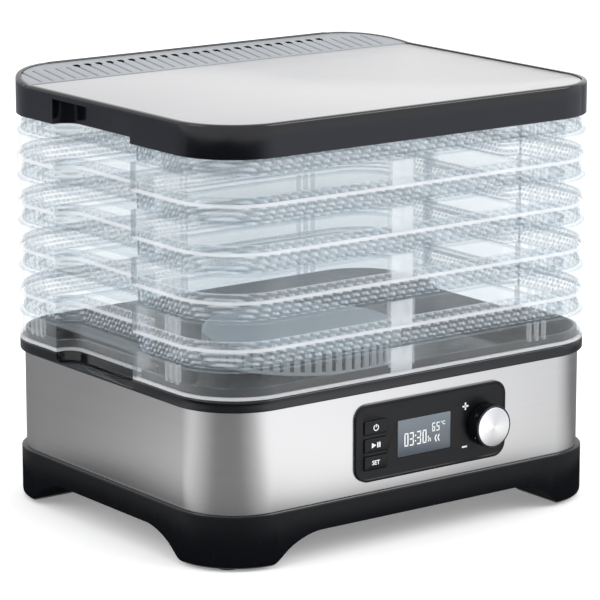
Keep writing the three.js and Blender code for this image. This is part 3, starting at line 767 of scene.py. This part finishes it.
def play_arrow(x, z, size, front):
    piece = bar("arrow", x, z, size, size, front)
    work_on(piece, "EDIT")
    choose(piece, "VERT", lambda point: point.co.x > x * MM)
    bpy.ops.transform.resize(value=(1, 1, 0.02), center_override=(x * MM, front * MM, z * MM))
    clear_selection()
    return piece


def power_symbol(x, z, size, front):
    clear_selection()
    bpy.ops.mesh.primitive_cylinder_add(vertices=32, radius=size * MM, depth=INK * MM)
    ring = bpy.context.object
    bpy.ops.mesh.primitive_cylinder_add(vertices=32, radius=size * 0.72 * MM, depth=1 * MM)
    cut(ring, [bpy.context.object])
    to_middle = Matrix.Translation((x * MM, front * MM, z * MM))
    ring.data.transform(to_middle @ Matrix.Rotation(math.pi / 2, 4, "X"))
    gap = size * 0.4
    cut(ring, [block("gap", (x - gap, front - 1, z), (x + gap, front + 1, z + 2 * size))])
    return join([ring, bar("stroke", x, z + size * 0.62, size * 0.28, size * 0.95, front)])


BUTTON_FRONT = MIDDLE_Y - 132.3
symbols = {
    "power": lambda z, y: power_symbol(BUTTON_X, z - 0.2, 2.2, y),
    "start": lambda z, y: join(
        [
            play_arrow(BUTTON_X - 1.7, z, 3.6, y),
            bar("pause_left", BUTTON_X + 1.4, z, 1.0, 3.6, y),
            bar("pause_right", BUTTON_X + 3.1, z, 1.0, 3.6, y),
        ]
    ),
    "set": lambda z, y: lettering("word", "SET", BUTTON_X, z, 3.0, y, bold=0.07),
}
for word, z in BUTTONS:
    cap_size = (BUTTON_X, z, 18.6, 9)
    cap = plate("button_cap_" + word, *cap_size, BUTTON_FRONT, BUTTON_FRONT + 4, 1, 4)
    work_on(cap, "EDIT")
    choose(cap, "FACE", lambda face: face.normal.y < -0.9)
    bpy.ops.mesh.inset(thickness=0.45 * MM, depth=0.12 * MM)
    clear_selection()
    soften(cap, 0.12)
    fit(cap, [panel_black], word + "_button", "black_plastic", "button_" + word)
    mark = symbols[word](z, BUTTON_FRONT - 0.18)
    mark.name = mark.data.name = "button_mark_" + word
    fit(mark, [white_ink], word + "_button", "black_plastic")

# Display: a window let into the panel over a liquid-crystal module. It is modelled as one grey
# pane, whose colour is painted a little brighter at the top as a reflection, with the figures as
# thin white bars on its face.
glass = Finish("display_window")
sheen = glass.noise(18, 2)
window_height = glass.node("SeparateXYZ", {0: glass.place()}, output=2)
# The pane's colour brightens towards the top: a painted reflection.
painted_reflection_ramp = glass.node("MapRange", {0: window_height, 1: 57 * MM, 2: 83 * MM})
display_window = glass.principled(
    {
        "Base Color": glass.colours(painted_reflection_ramp, (0.070, 0.085, 0.105), (0.150, 0.175, 0.200)),
        "Roughness": sheen * 0.06 + 0.08,
    }
)
GLASS_FACE = MIDDLE_Y - 131.75
lens_size = (*WINDOW, *WINDOW_GLASS)
lens_piece = plate("display_lens_window", *lens_size, GLASS_FACE, PANEL_BACK, 0.6, 3)
soften(lens_piece, 0.15)
fit(lens_piece, [display_window], "base", "display_window", "display_lens")
dress(display_window, "lcd_module")
DIGIT_Y = GLASS_FACE - 0.05
SEGMENTS = {"0": "abcdef", "3": "abcdg", "5": "acdfg", "6": "acdefg", "h": "cefg"}


def segment_figure(figure, x, z, width, height, thick):
    """One figure of the display, made of up to seven bars."""
    upper = z + height / 4
    lower = z - height / 4
    places = {
        "a": (x, z + height / 2, width + thick, thick),
        "b": (x + width / 2, upper, thick, height / 2),
        "c": (x + width / 2, lower, thick, height / 2),
        "d": (x, z - height / 2, width + thick, thick),
        "e": (x - width / 2, lower, thick, height / 2),
        "f": (x - width / 2, upper, thick, height / 2),
        "g": (x, z, width + thick, thick),
    }
    return [bar("segment", *places[name], DIGIT_Y) for name in SEGMENTS[figure]]


parts = []
for figure, x in zip("0330", (-11.8, -7.2, -1.1, 3.5)):
    parts += segment_figure(figure, x, 68.4, 2.5, 8.2, 0.85)
parts += segment_figure("h", 7.6, 66.3, 1.7, 4.0, 0.7)
for figure, x in zip("65", (11.2, 14.9)):
    parts += segment_figure(figure, x, 73.6, 1.9, 5.2, 0.7)
for z in (66.6, 70.2):
    parts.append(bar("colon", -4.1, z, 0.9, 0.9, DIGIT_Y))
for place in (13.0, 15.4):
    parts.append(bar("wave", place, 66.9, 0.8, 2.6, DIGIT_Y, 28))
    parts.append(bar("wave", place, 64.6, 0.8, 2.6, DIGIT_Y, -28))
parts.append(lettering("unit", "°C", 19.2, 75.2, 2.6, DIGIT_Y, bold=0.04))
figures = join(parts)
figures.name = figures.data.name = "display_figures"
fit(figures, [white_ink], "base", "display_window")

# Plus and minus signs over and under the knob, printed on the panel.
marks = join(
    [
        bar("plus_across", 38.2, 83.6, 5.0, 1.1, PANEL_FACE),
        bar("plus_up", 38.2, 83.6, 1.1, 5.0, PANEL_FACE),
        bar("minus", 37.7, 55.7, 4.4, 1.1, PANEL_FACE),
    ]
)
marks.name = marks.data.name = "panel_marks"
fit(marks, [white_ink], "base", "gloss_black")

# ------------------------------------------------------------
# Knob: a gloss black sleeve pushed on the encoder's shaft, with a spun aluminium disc set into
# its face.
KNOB_X = 53.8
KNOB_Z = 69.2
KNOB_R = 14.5
DISC_R = 13.3


def disc(name, radius, front, back):
    """A round plate on the knob's axis, facing the front."""
    clear_selection()
    depth = (back - front) * MM
    bpy.ops.mesh.primitive_cylinder_add(vertices=96, radius=radius * MM, depth=depth)
    piece = bpy.context.object
    piece.name = piece.data.name = name
    place = Vector((KNOB_X * MM, (front + back) / 2 * MM, KNOB_Z * MM))
    piece.data.transform(Matrix.Translation(place) @ Matrix.Rotation(math.pi / 2, 4, "X"))
    return piece


sleeve = disc("knob_sleeve", KNOB_R, MIDDLE_Y - 143.2, MIDDLE_Y - 132.5)
work_on(sleeve, "EDIT")
choose(sleeve, "FACE", lambda face: face.normal.y < -0.9)
bpy.ops.mesh.inset(thickness=0.9 * MM)
bpy.ops.mesh.inset(thickness=0.02 * MM, depth=-1.4 * MM)
choose(sleeve, "FACE", lambda face: face.normal.y > 0.9)
bpy.ops.mesh.inset(thickness=11 * MM)
bpy.ops.mesh.inset(thickness=0.05 * MM, depth=-7 * MM)
clear_selection()
soften(sleeve, 0.35, 3)
fit(sleeve, [gloss_black], "knob", "gloss_black", "knob_body")

spun = Finish("spun_aluminium")
centred = spun.place(move=(-KNOB_X * MM, 0, -KNOB_Z * MM))
across = spun.node("SeparateXYZ", {0: centred})
upward = spun.node("SeparateXYZ", {0: centred}, output=2)
radius_here = spun.node("Math", {0: across * across + upward * upward}, operation="SQRT")
angle_here = spun.node("Math", {0: upward, 1: across}, operation="ARCTAN2")
by_radius = spun.node("CombineXYZ", {0: radius_here * 3500.0})
rings = spun.node("TexNoise", {"Vector": by_radius, "Scale": 1.0, "Detail": 3.0})
# The disc's colour is brighter in two opposite sectors round its middle: a painted glint of the
# spun rings.
painted_glint = spun.node("Math", {0: angle_here * 2.0 + 0.7}, operation="COSINE")
spun_aluminium = spun.principled(
    {
        "Base Color": spun.colours(painted_glint * 0.5 + 0.5, (0.72, 0.72, 0.73), (0.96, 0.96, 0.96)),
        "Metallic": 1.0,
        "Roughness": rings * 0.15 + 0.2,
        "Normal": spun.bump(rings, 0.15, 0.0001),
    }
)
face_disc = disc("knob_face_disc", DISC_R, MIDDLE_Y - 143.5, MIDDLE_Y - 142.2)
soften(face_disc, 0.3, 3)
fit(face_disc, [spun_aluminium], "knob", "aluminium", "knob_cap")
dress(metal("turned_aluminium", (0.7, 0.7, 0.71), 0.3, 200), "knob_shaft")

# ------------------------------------------------------------
# Trays: five stacking trays in clear plastic. Each has a skirt that fits over the neck of the
# tray below, a stepped shoulder, a fine mesh floor of slanting slots and stout ribs inside.
TRAY_TOP_FLOOR = 259.5
PITCH = 31.2
TRAYS = 5
SKIRT_H = 20.9
NECK_H = 17.0
SKIRT_WALL = 1.8
NECK_INSET = 3.0
NECK_WALL = 1.6
SHELF_T = 3.0
FLOOR_INSET = 16.0
FLOOR_CORNER = 30.0
TRAY_BOTTOM = TRAY_TOP_FLOOR - SKIRT_H  # the top tray's lower edge
# The painted shade down the front corner of each finger recess, in the skirts and the necks:
STEP_HALF = 0.7  # the dark corner's half width, and how far in it goes
STEP_DEPTH = 4.4
# White of the painted highlights along the trays' edges.
PAINTED_HIGHLIGHT_WHITE = (0.97, 0.98, 1.0)


def clear_plastic(name, haze, tint, head_on, edge_on, painted_floor_image=0.0, rim=0.0, step=None):
    """Thin clear plastic: open head on, milkier at a slant. The floor image share is how strongly
    a wall shows a painted image of the mesh floor, as seen broken through it; rim is how high the
    painted highlight along its foot is, and step is where the painted shade of the finger recess's
    front corner lies."""
    clear = Finish(name)
    slant = clear.node("LayerWeight", {"Blend": 0.35}, output=1)
    ripple = clear.noise(1.0, 3, (25, 25, 160))
    body_colour = clear.colours(ripple, [c * 0.94 for c in haze], haze)
    open_share = slant * (edge_on - head_on) + head_on + (ripple - 0.5) * 0.02
    where = clear.place()
    x, y, z = (clear.node("SeparateXYZ", {0: where}, output=i) for i in range(3))
    # A painted image of the mesh floor, as seen broken through the wall: a slanting weave of dark
    # dots.
    if painted_floor_image:
        along = clear.node("Math", {0: (x + y) * 800.0 + z * 560.0}, operation="SINE")
        across = clear.node("Math", {0: z * 900.0 + ripple * 2.0}, operation="SINE")
        weave = along * across
        open_share = open_share + clear.node("Math", {0: weave}, operation="ABSOLUTE") * painted_floor_image
        floor_image_ramp = clear.node("MapRange", {0: weave, 1: -0.5, 2: 0.6})
        body_colour = clear.colours(floor_image_ramp, [c * 0.42 for c in haze], haze)
    # Painted highlight: a whiter, more opaque band along the foot of each skirt.
    if rim:
        over_foot = {0: z - TRAY_BOTTOM * MM, 1: PITCH * MM}
        painted_foot_highlight = clear.node("Math", over_foot, operation="FLOORED_MODULO") < rim * MM
        open_share = open_share + painted_foot_highlight * 0.27
        body_colour = clear.colours(painted_foot_highlight, body_colour, PAINTED_HIGHLIGHT_WHITE)
    # Painted shade: a dark line down the front corner of each finger recess.
    if step:
        beside = clear.node("Math", {0: y - step * MM}, operation="ABSOLUTE") < STEP_HALF * MM
        at_side = clear.node("Math", {0: x}, operation="ABSOLUTE") > (HALF_W - STEP_DEPTH) * MM
        painted_step_shade = beside * at_side
        open_share = open_share + painted_step_shade * 0.45
        body_colour = clear.colours(painted_step_shade, body_colour, (0.12, 0.17, 0.22))
    body = clear.node(
        "BsdfPrincipled",
        {
            "Base Color": body_colour,
            "Roughness": ripple * 0.06 + 0.08,
            "Normal": clear.bump(ripple, 0.1, 0.0006),
        },
    )
    through = clear.node("BsdfTransparent", {"Color": (*tint, 1)})
    clear.material.use_transparent_shadow = True
    return clear.surface(clear.node("MixShader", {0: open_share, 1: through, 2: body}))


WALLS = ((0.93, 0.96, 0.98), (0.970, 0.979, 0.984))
NECKS = ((0.82, 0.88, 0.92), (0.915, 0.930, 0.942))
tray_finishes = [
    clear_plastic("skirt_plastic", *WALLS, 0.015, 0.20, rim=2.2, step=RECESS_FRONT),
    clear_plastic("neck_plastic", *NECKS, 0.02, 0.08, painted_floor_image=0.38, step=RECESS_FRONT - NECK_INSET),
    # The shelf's outer edge is darker: painted shade.
    clear_plastic("shoulder_plastic", (0.52, 0.58, 0.63), (0.92, 0.94, 0.96), 0.08, 0.25),
    # The edge faces get a whiter, milkier finish: a painted highlight.
    clear_plastic("tray_edge", PAINTED_HIGHLIGHT_WHITE, (0.98, 0.985, 0.99), 0.24, 0.6),
    clear_plastic("shelf_plastic", (0.80, 0.86, 0.90), (0.96, 0.97, 0.975), 0.03, 0.14),
    clear_plastic("mesh_plastic", (0.70, 0.76, 0.80), (0.955, 0.968, 0.975), 0.07, 0.20),
    # The walls of the mesh's slots are darker: painted shade inside the slots.
    clear_plastic("mesh_slot_walls", (0.24, 0.30, 0.35), (0.86, 0.89, 0.91), 0.14, 0.30),
    clear_plastic("rib_plastic", (0.98, 0.99, 1.0), (0.97, 0.98, 0.985), 0.10, 0.5),
]
SKIRT, NECK, SHOULDER, EDGE, SHELF, MESH, SLOT, RIB = range(8)


def stamp(piece, index, wanted=lambda face: True):
    """Gives the wanted faces one of the tray's finishes."""
    for face in piece.data.polygons:
        if wanted(face):
            face.material_index = index


def with_slots(piece):
    piece.data.materials.clear()
    for finish in tray_finishes:
        piece.data.materials.append(finish)
    return piece


def wall_ring(name, inset, wall, low, high):
    """A wall round the plan, at an inset, which follows the finger recesses."""
    outer = dipped_block(name, inset, low, high)
    return cut(outer, [dipped_block("inside", inset + wall, low - 2, high + 2)])


floor_z = TRAY_TOP_FLOOR
skirt = with_slots(wall_ring("skirt", 0, SKIRT_WALL, floor_z - SKIRT_H, floor_z - 2))
soften(skirt, 0.35)
stamp(skirt, SKIRT)
stamp(skirt, EDGE, lambda face: face.center.z < (floor_z - SKIRT_H + 0.5) * MM)
neck = with_slots(wall_ring("neck", NECK_INSET, NECK_WALL, floor_z - 1, floor_z + NECK_H))
soften(neck, 0.35)
stamp(neck, NECK)
stamp(neck, EDGE, lambda face: face.center.z > (floor_z + NECK_H - 0.5) * MM)
shelf = with_slots(plan_block("shelf", 0, floor_z - SHELF_T, floor_z, 24))
cut(shelf, [plan_block("shelf_opening", FLOOR_INSET + 1, floor_z - 10, floor_z + 10, 16)])
soften(shelf, 0.8, 3)
stamp(shelf, SHELF)


def is_shoulder(face):
    """The shelf's outer edge, which gets a darker finish all round: painted shade of the thick
    edge seen end on.
    """
    x = face.center.x
    y = face.center.y
    outwards = max(abs(x) / HALF_W, abs(y - MIDDLE_Y * MM) / HALF_D)
    return outwards > 0.965 * MM or (abs(face.normal.z) < 0.8 and math.hypot(x, y) > 150 * MM)


stamp(shelf, SHOULDER, is_shoulder)

# The mesh floor: one cell with a slanting slot, repeated over the floor and trimmed to its plan.
CELL = 5.6
CELLS_X = 57
CELLS_Y = 46
CELL_EDGE = 1.0
SLANT = 0.85
MESH_T = 1.2
cell_x = -(CELLS_X - 1) / 2 * CELL * MM
cell_y = (MIDDLE_Y - (CELLS_Y - 1) / 2 * CELL) * MM
cell_place = (cell_x, cell_y, (floor_z - MESH_T / 2) * MM)
clear_selection()
bpy.ops.mesh.primitive_plane_add(size=CELL * MM, location=cell_place)
mesh_floor = bpy.context.object
mesh_floor.name = mesh_floor.data.name = "mesh_floor"
bpy.ops.object.transform_apply(location=True, rotation=True, scale=True)
work_on(mesh_floor, "EDIT")
bpy.ops.mesh.select_all(action="SELECT")
bpy.ops.mesh.inset(thickness=CELL_EDGE * MM)


def is_inner(point):
    return max(abs(point.co.x - cell_x), abs(point.co.y - cell_y)) < (CELL / 2 - 0.6) * MM


choose(mesh_floor, "VERT", lambda point: is_inner(point) and point.co.y > cell_y)
bpy.ops.transform.translate(value=(SLANT * MM, 0, 0))
choose(mesh_floor, "VERT", lambda point: is_inner(point) and point.co.y < cell_y)
bpy.ops.transform.translate(value=(-SLANT * MM, 0, 0))
choose(mesh_floor, "VERT", is_inner)
bpy.ops.transform.resize(value=(0.8, 1, 1), center_override=(cell_x, cell_y, floor_z * MM))
choose(mesh_floor, "FACE", lambda face: all(is_inner(v) for v in face.verts))
bpy.ops.mesh.delete(type="FACE")
clear_selection()
for offset, count in (((CELL * MM, 0, 0), CELLS_X), ((0, CELL * MM, 0), CELLS_Y)):
    change(
        mesh_floor,
        "ARRAY",
        count=count,
        use_relative_offset=False,
        use_constant_offset=True,
        constant_offset_displace=offset,
        use_merge_vertices=True,
        merge_threshold=0.00002,
    )


def outside_floor(face):
    """Past the floor's plan, which has corners of its own."""
    x = abs(face.calc_center_median().x) - (HALF_W - FLOOR_INSET - FLOOR_CORNER) * MM
    y = abs(face.calc_center_median().y - MIDDLE_Y * MM)
    y -= (HALF_D - FLOOR_INSET - FLOOR_CORNER) * MM
    return math.hypot(max(x, 0), max(y, 0)) > (FLOOR_CORNER + 1.5) * MM


work_on(mesh_floor, "EDIT")
choose(mesh_floor, "FACE", outside_floor)
bpy.ops.mesh.delete(type="FACE")
clear_selection()
with_slots(mesh_floor)
stamp(mesh_floor, MESH)
change(mesh_floor, "SOLIDIFY", thickness=MESH_T * MM, offset=-1, material_offset_rim=SLOT - MESH)

# Ribs: each group is three stout prongs inside the skirt, with finer ribs above them up the neck.
# The groups near the middle of the front and of the back also have a flat pad, as high as the
# skirt. All of it is moulded in one with the tray.
PRONG_HALF = 0.9
FINE_HALF = 0.4
PRONG_BOTTOM = floor_z - 15
UNDER_SHELF = floor_z - 2.5
FINE_TOP = floor_z + NECK_H - 1
IN_NECK = 4.6
ribs = []
pads = []


def inwards(side, face, depth):
    """The span from a wall's inner face inwards, lower number first."""
    return sorted((face, face - side * depth))


for side in (-1, 1):
    skirt_y = MIDDLE_Y + side * (HALF_D - SKIRT_WALL)
    neck_y = MIDDLE_Y + side * (HALF_D - IN_NECK)
    for along, width in ((-16, 19), (101, 13)):
        near, far = inwards(side, skirt_y, 3.0)
        for x in (along - width / 2, along, along + width / 2):
            low = (x - PRONG_HALF, near, PRONG_BOTTOM)
            ribs.append(block("prong", low, (x + PRONG_HALF, far, UNDER_SHELF)))
        if along < 0:
            near, far = inwards(side, skirt_y, 1.0)
            low = (along - 8.6, near, TRAY_BOTTOM)
            pads.append(block("pad", low, (along + 8.6, far, UNDER_SHELF)))
        near, far = inwards(side, neck_y, 1.2)
        for step in (-2, -1, 0, 1, 2):
            x = along + step * width / 4
            low = (x - FINE_HALF, near, floor_z)
            ribs.append(block("fine_rib", low, (x + FINE_HALF, far, FINE_TOP)))
    skirt_x = side * (HALF_W - SKIRT_WALL)
    neck_x = side * (HALF_W - IN_NECK)
    for along, width in ((-79, 12), (82, 12)):
        spread = [MIDDLE_Y + along + share * width for share in (-0.5, 0, 0.5)]
        near, far = inwards(side, skirt_x, 3.0)
        for y in spread:
            low = (near, y - PRONG_HALF, PRONG_BOTTOM)
            ribs.append(block("prong", low, (far, y + PRONG_HALF, UNDER_SHELF)))
        near, far = inwards(side, neck_x, 1.2)
        for y in spread:
            low = (near, y - FINE_HALF, floor_z)
            ribs.append(block("fine_rib", low, (far, y + FINE_HALF, FINE_TOP)))
rib_set = with_slots(join(ribs))
stamp(rib_set, RIB)
pad_set = with_slots(join(pads))
stamp(pad_set, EDGE)
tray = join([skirt, neck, shelf, mesh_floor, rib_set, pad_set])
tray.name = tray.data.name = "tray_1_shell"
trays = [tray]
for number in range(2, TRAYS + 1):
    copy = tray.copy()
    copy.data = tray.data.copy()
    copy.name = copy.data.name = f"tray_{number}_shell"
    copy.data.transform(Matrix.Translation((0, 0, -PITCH * (number - 1) * MM)))
    scene.collection.objects.link(copy)
    trays.append(copy)
for number, shell in enumerate(trays, 1):
    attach(shell, f"tray_{number}_body")
    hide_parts(f"tray_{number}", f"tray_{number}_mesh")

# ------------------------------------------------------------
# Lid frame: a gloss black moulding with a rounded top edge, which rises towards the back, and a
# finger recess in both sides under a thin roof.
LID_BOTTOM = 269.5
LID_TOP = 291.5
REAR_LIP = 297.5
RAMP_Y = MIDDLE_Y + 89.0
LID_BACK = MIDDLE_Y + HALF_D
LID_ROOF = 286.5  # underside of the lid's top, over the trays and the finger recesses
PLATE_INSET = 3.9
PLATE_BOTTOM = 289.0


def above_ramp(name, below):
    """Everything over the lid's top, which is lower by below."""
    flat = block(name, (-BEYOND, -BEYOND, LID_TOP - below), (BEYOND, RAMP_Y, 330))
    slope = block("slope", (-BEYOND, RAMP_Y - 0.01, LID_TOP - below), (BEYOND, LID_BACK, 330))
    work_on(slope, "EDIT")
    choose(slope, "VERT", lambda point: point.co.y > LID_BACK * MM - HAIR and point.co.z < 0.3)
    bpy.ops.transform.translate(value=(0, 0, (REAR_LIP - LID_TOP) * MM))
    clear_selection()
    return [flat, slope]


lid = plan_block("lid_frame_moulding", 0, LID_BOTTOM, REAR_LIP, 28)
cut(lid, above_ramp("above", 0))
cut(lid, [plan_block("tray_room", 3.6, 288.7, REAR_LIP + 5, 28)])
cut(lid, [dipped_block("under", 2.4, LID_BOTTOM - 2, LID_ROOF, 24)])
cut(lid, [finger_tool(side, 0, LID_BOTTOM - 2, LID_ROOF) for side in (-1, 1)])
cut(lid, [block("air_way", (-150, MIDDLE_Y + 95, 280), (150, MIDDLE_Y + 120, 295))])


def is_outer_rim(edge):
    """The lid's top outer edge, where its outer wall meets the flat lip."""
    if len(edge.link_faces) != 2:
        return False
    up = sorted(face.normal.z for face in edge.link_faces)
    out = [face for face in edge.link_faces if abs(face.normal.z) < 0.3]
    if up[1] < 0.9 or not out:
        return False
    away = middle_of(edge) - Vector((0, MIDDLE_Y * MM, 0))
    return middle_of(edge).z > 0.29 and out[0].normal.x * away.x + out[0].normal.y * away.y > 0


work_on(lid, "EDIT")
choose(lid, "EDGE", is_outer_rim)
bpy.ops.mesh.bevel(offset=1.6 * MM, segments=4, affect="EDGES")
clear_selection()
soften(lid, 0.4)
fit(lid, [gloss_black], "lid", "gloss_black", "lid_frame")

# Lid plate: a satin stainless sheet let into the frame.
satin = Finish("satin_steel")
rolled = satin.noise(1.0, 4, (3, 700, 700))
# The plate's colour darkens towards its left end, along a slightly wavy edge: a painted darker
# reflection.
painted_reflection_fade = satin.node("SeparateXYZ", {0: satin.place()}) + satin.noise(9, 2) * 0.06
satin_steel = satin.principled(
    {
        "Base Color": satin.colours(
            satin.node("MapRange", {0: painted_reflection_fade, 1: -0.15, 2: 0.01}),
            satin.colours(rolled, (0.54, 0.54, 0.555), (0.60, 0.60, 0.615)),
            satin.colours(rolled, (0.67, 0.67, 0.68), (0.74, 0.74, 0.75)),
        ),
        "Metallic": 1.0,
        "Roughness": rolled * 0.12 + 0.24,
        "Normal": satin.bump(rolled, 0.03, 0.0002),
    }
)
top_plate = plan_block("lid_plate_sheet", PLATE_INSET, PLATE_BOTTOM, LID_TOP - 0.8, 28)
cut(top_plate, [block("rear", (-BEYOND, RAMP_Y, 280), (BEYOND, BEYOND, 300))])
soften(top_plate, 0.5)
fit(top_plate, [satin_steel], "lid", "brushed_steel", "lid_plate")

# Vent strip: a pale grey moulding clipped into the frame, sloping up to the back lip. It is
# grooved from front to back, with two rows of small air holes at the ends of the grooves.
GROOVES = 33
GROOVE_PITCH = 9.1
GROOVE_LENGTH = 26.0
HOLES = 12
HOLE_Y = 119.0
vent_grey = moulded("vent_grey", (0.34, 0.36, 0.385), 0.4)
strip = plan_block("lid_vent_moulding", PLATE_INSET, PLATE_BOTTOM, REAR_LIP + 2, 28)
cut(strip, [block("front", (-BEYOND, -BEYOND, 270), (BEYOND, RAMP_Y + 0.3, 310))])
cut(strip, above_ramp("above_strip", 0.4))
slope = (REAR_LIP - LID_TOP) / (LID_BACK - RAMP_Y)
grooves = []
for i in range(GROOVES):
    x = -104 + (i - 5) * GROOVE_PITCH
    low = (x - 2.2, RAMP_Y + 3, LID_TOP - 1.2)
    groove = block("groove", low, (x + 2.2, RAMP_Y + 3 + GROOVE_LENGTH, LID_TOP + 8))
    work_on(groove, "EDIT")
    choose(groove, "VERT", lambda point: point.co.z < 0.295 and point.co.y > (RAMP_Y + 10) * MM)
    bpy.ops.transform.translate(value=(0, 0, slope * GROOVE_LENGTH * MM))
    choose(groove, "VERT", lambda point: point.co.z < 0.2985)
    bpy.ops.transform.resize(value=(0.35, 1, 1), center_override=(x * MM, 0, 0))
    clear_selection()
    grooves.append(groove)
cut(strip, [join(grooves)])
holes = []
for start in (-104, 4.4):
    for i in range(HOLES):
        x = start + i * GROOVE_PITCH
        low = (x - 2.3, MIDDLE_Y + HOLE_Y - 2.4, 280)
        holes.append(block("hole", low, (x + 2.3, MIDDLE_Y + HOLE_Y + 2.4, 310), 0.9, 3))
cut(strip, [join(holes)])
soften(strip, 0.25, 2, 30)
fit(strip, [vent_grey, satin_black], "lid", "grey_plastic", "lid_vent_strip")
# The walls of the holes get the black finish: painted shade inside the holes.
for face in strip.data.polygons:  # the walls of the holes are dark
    off_row = abs(face.center.y / MM - MIDDLE_Y - HOLE_Y)
    in_row = off_row < 2.7 and abs(face.center.x / MM) < 108
    face.material_index = int(in_row and abs(face.normal.z) < 0.5)
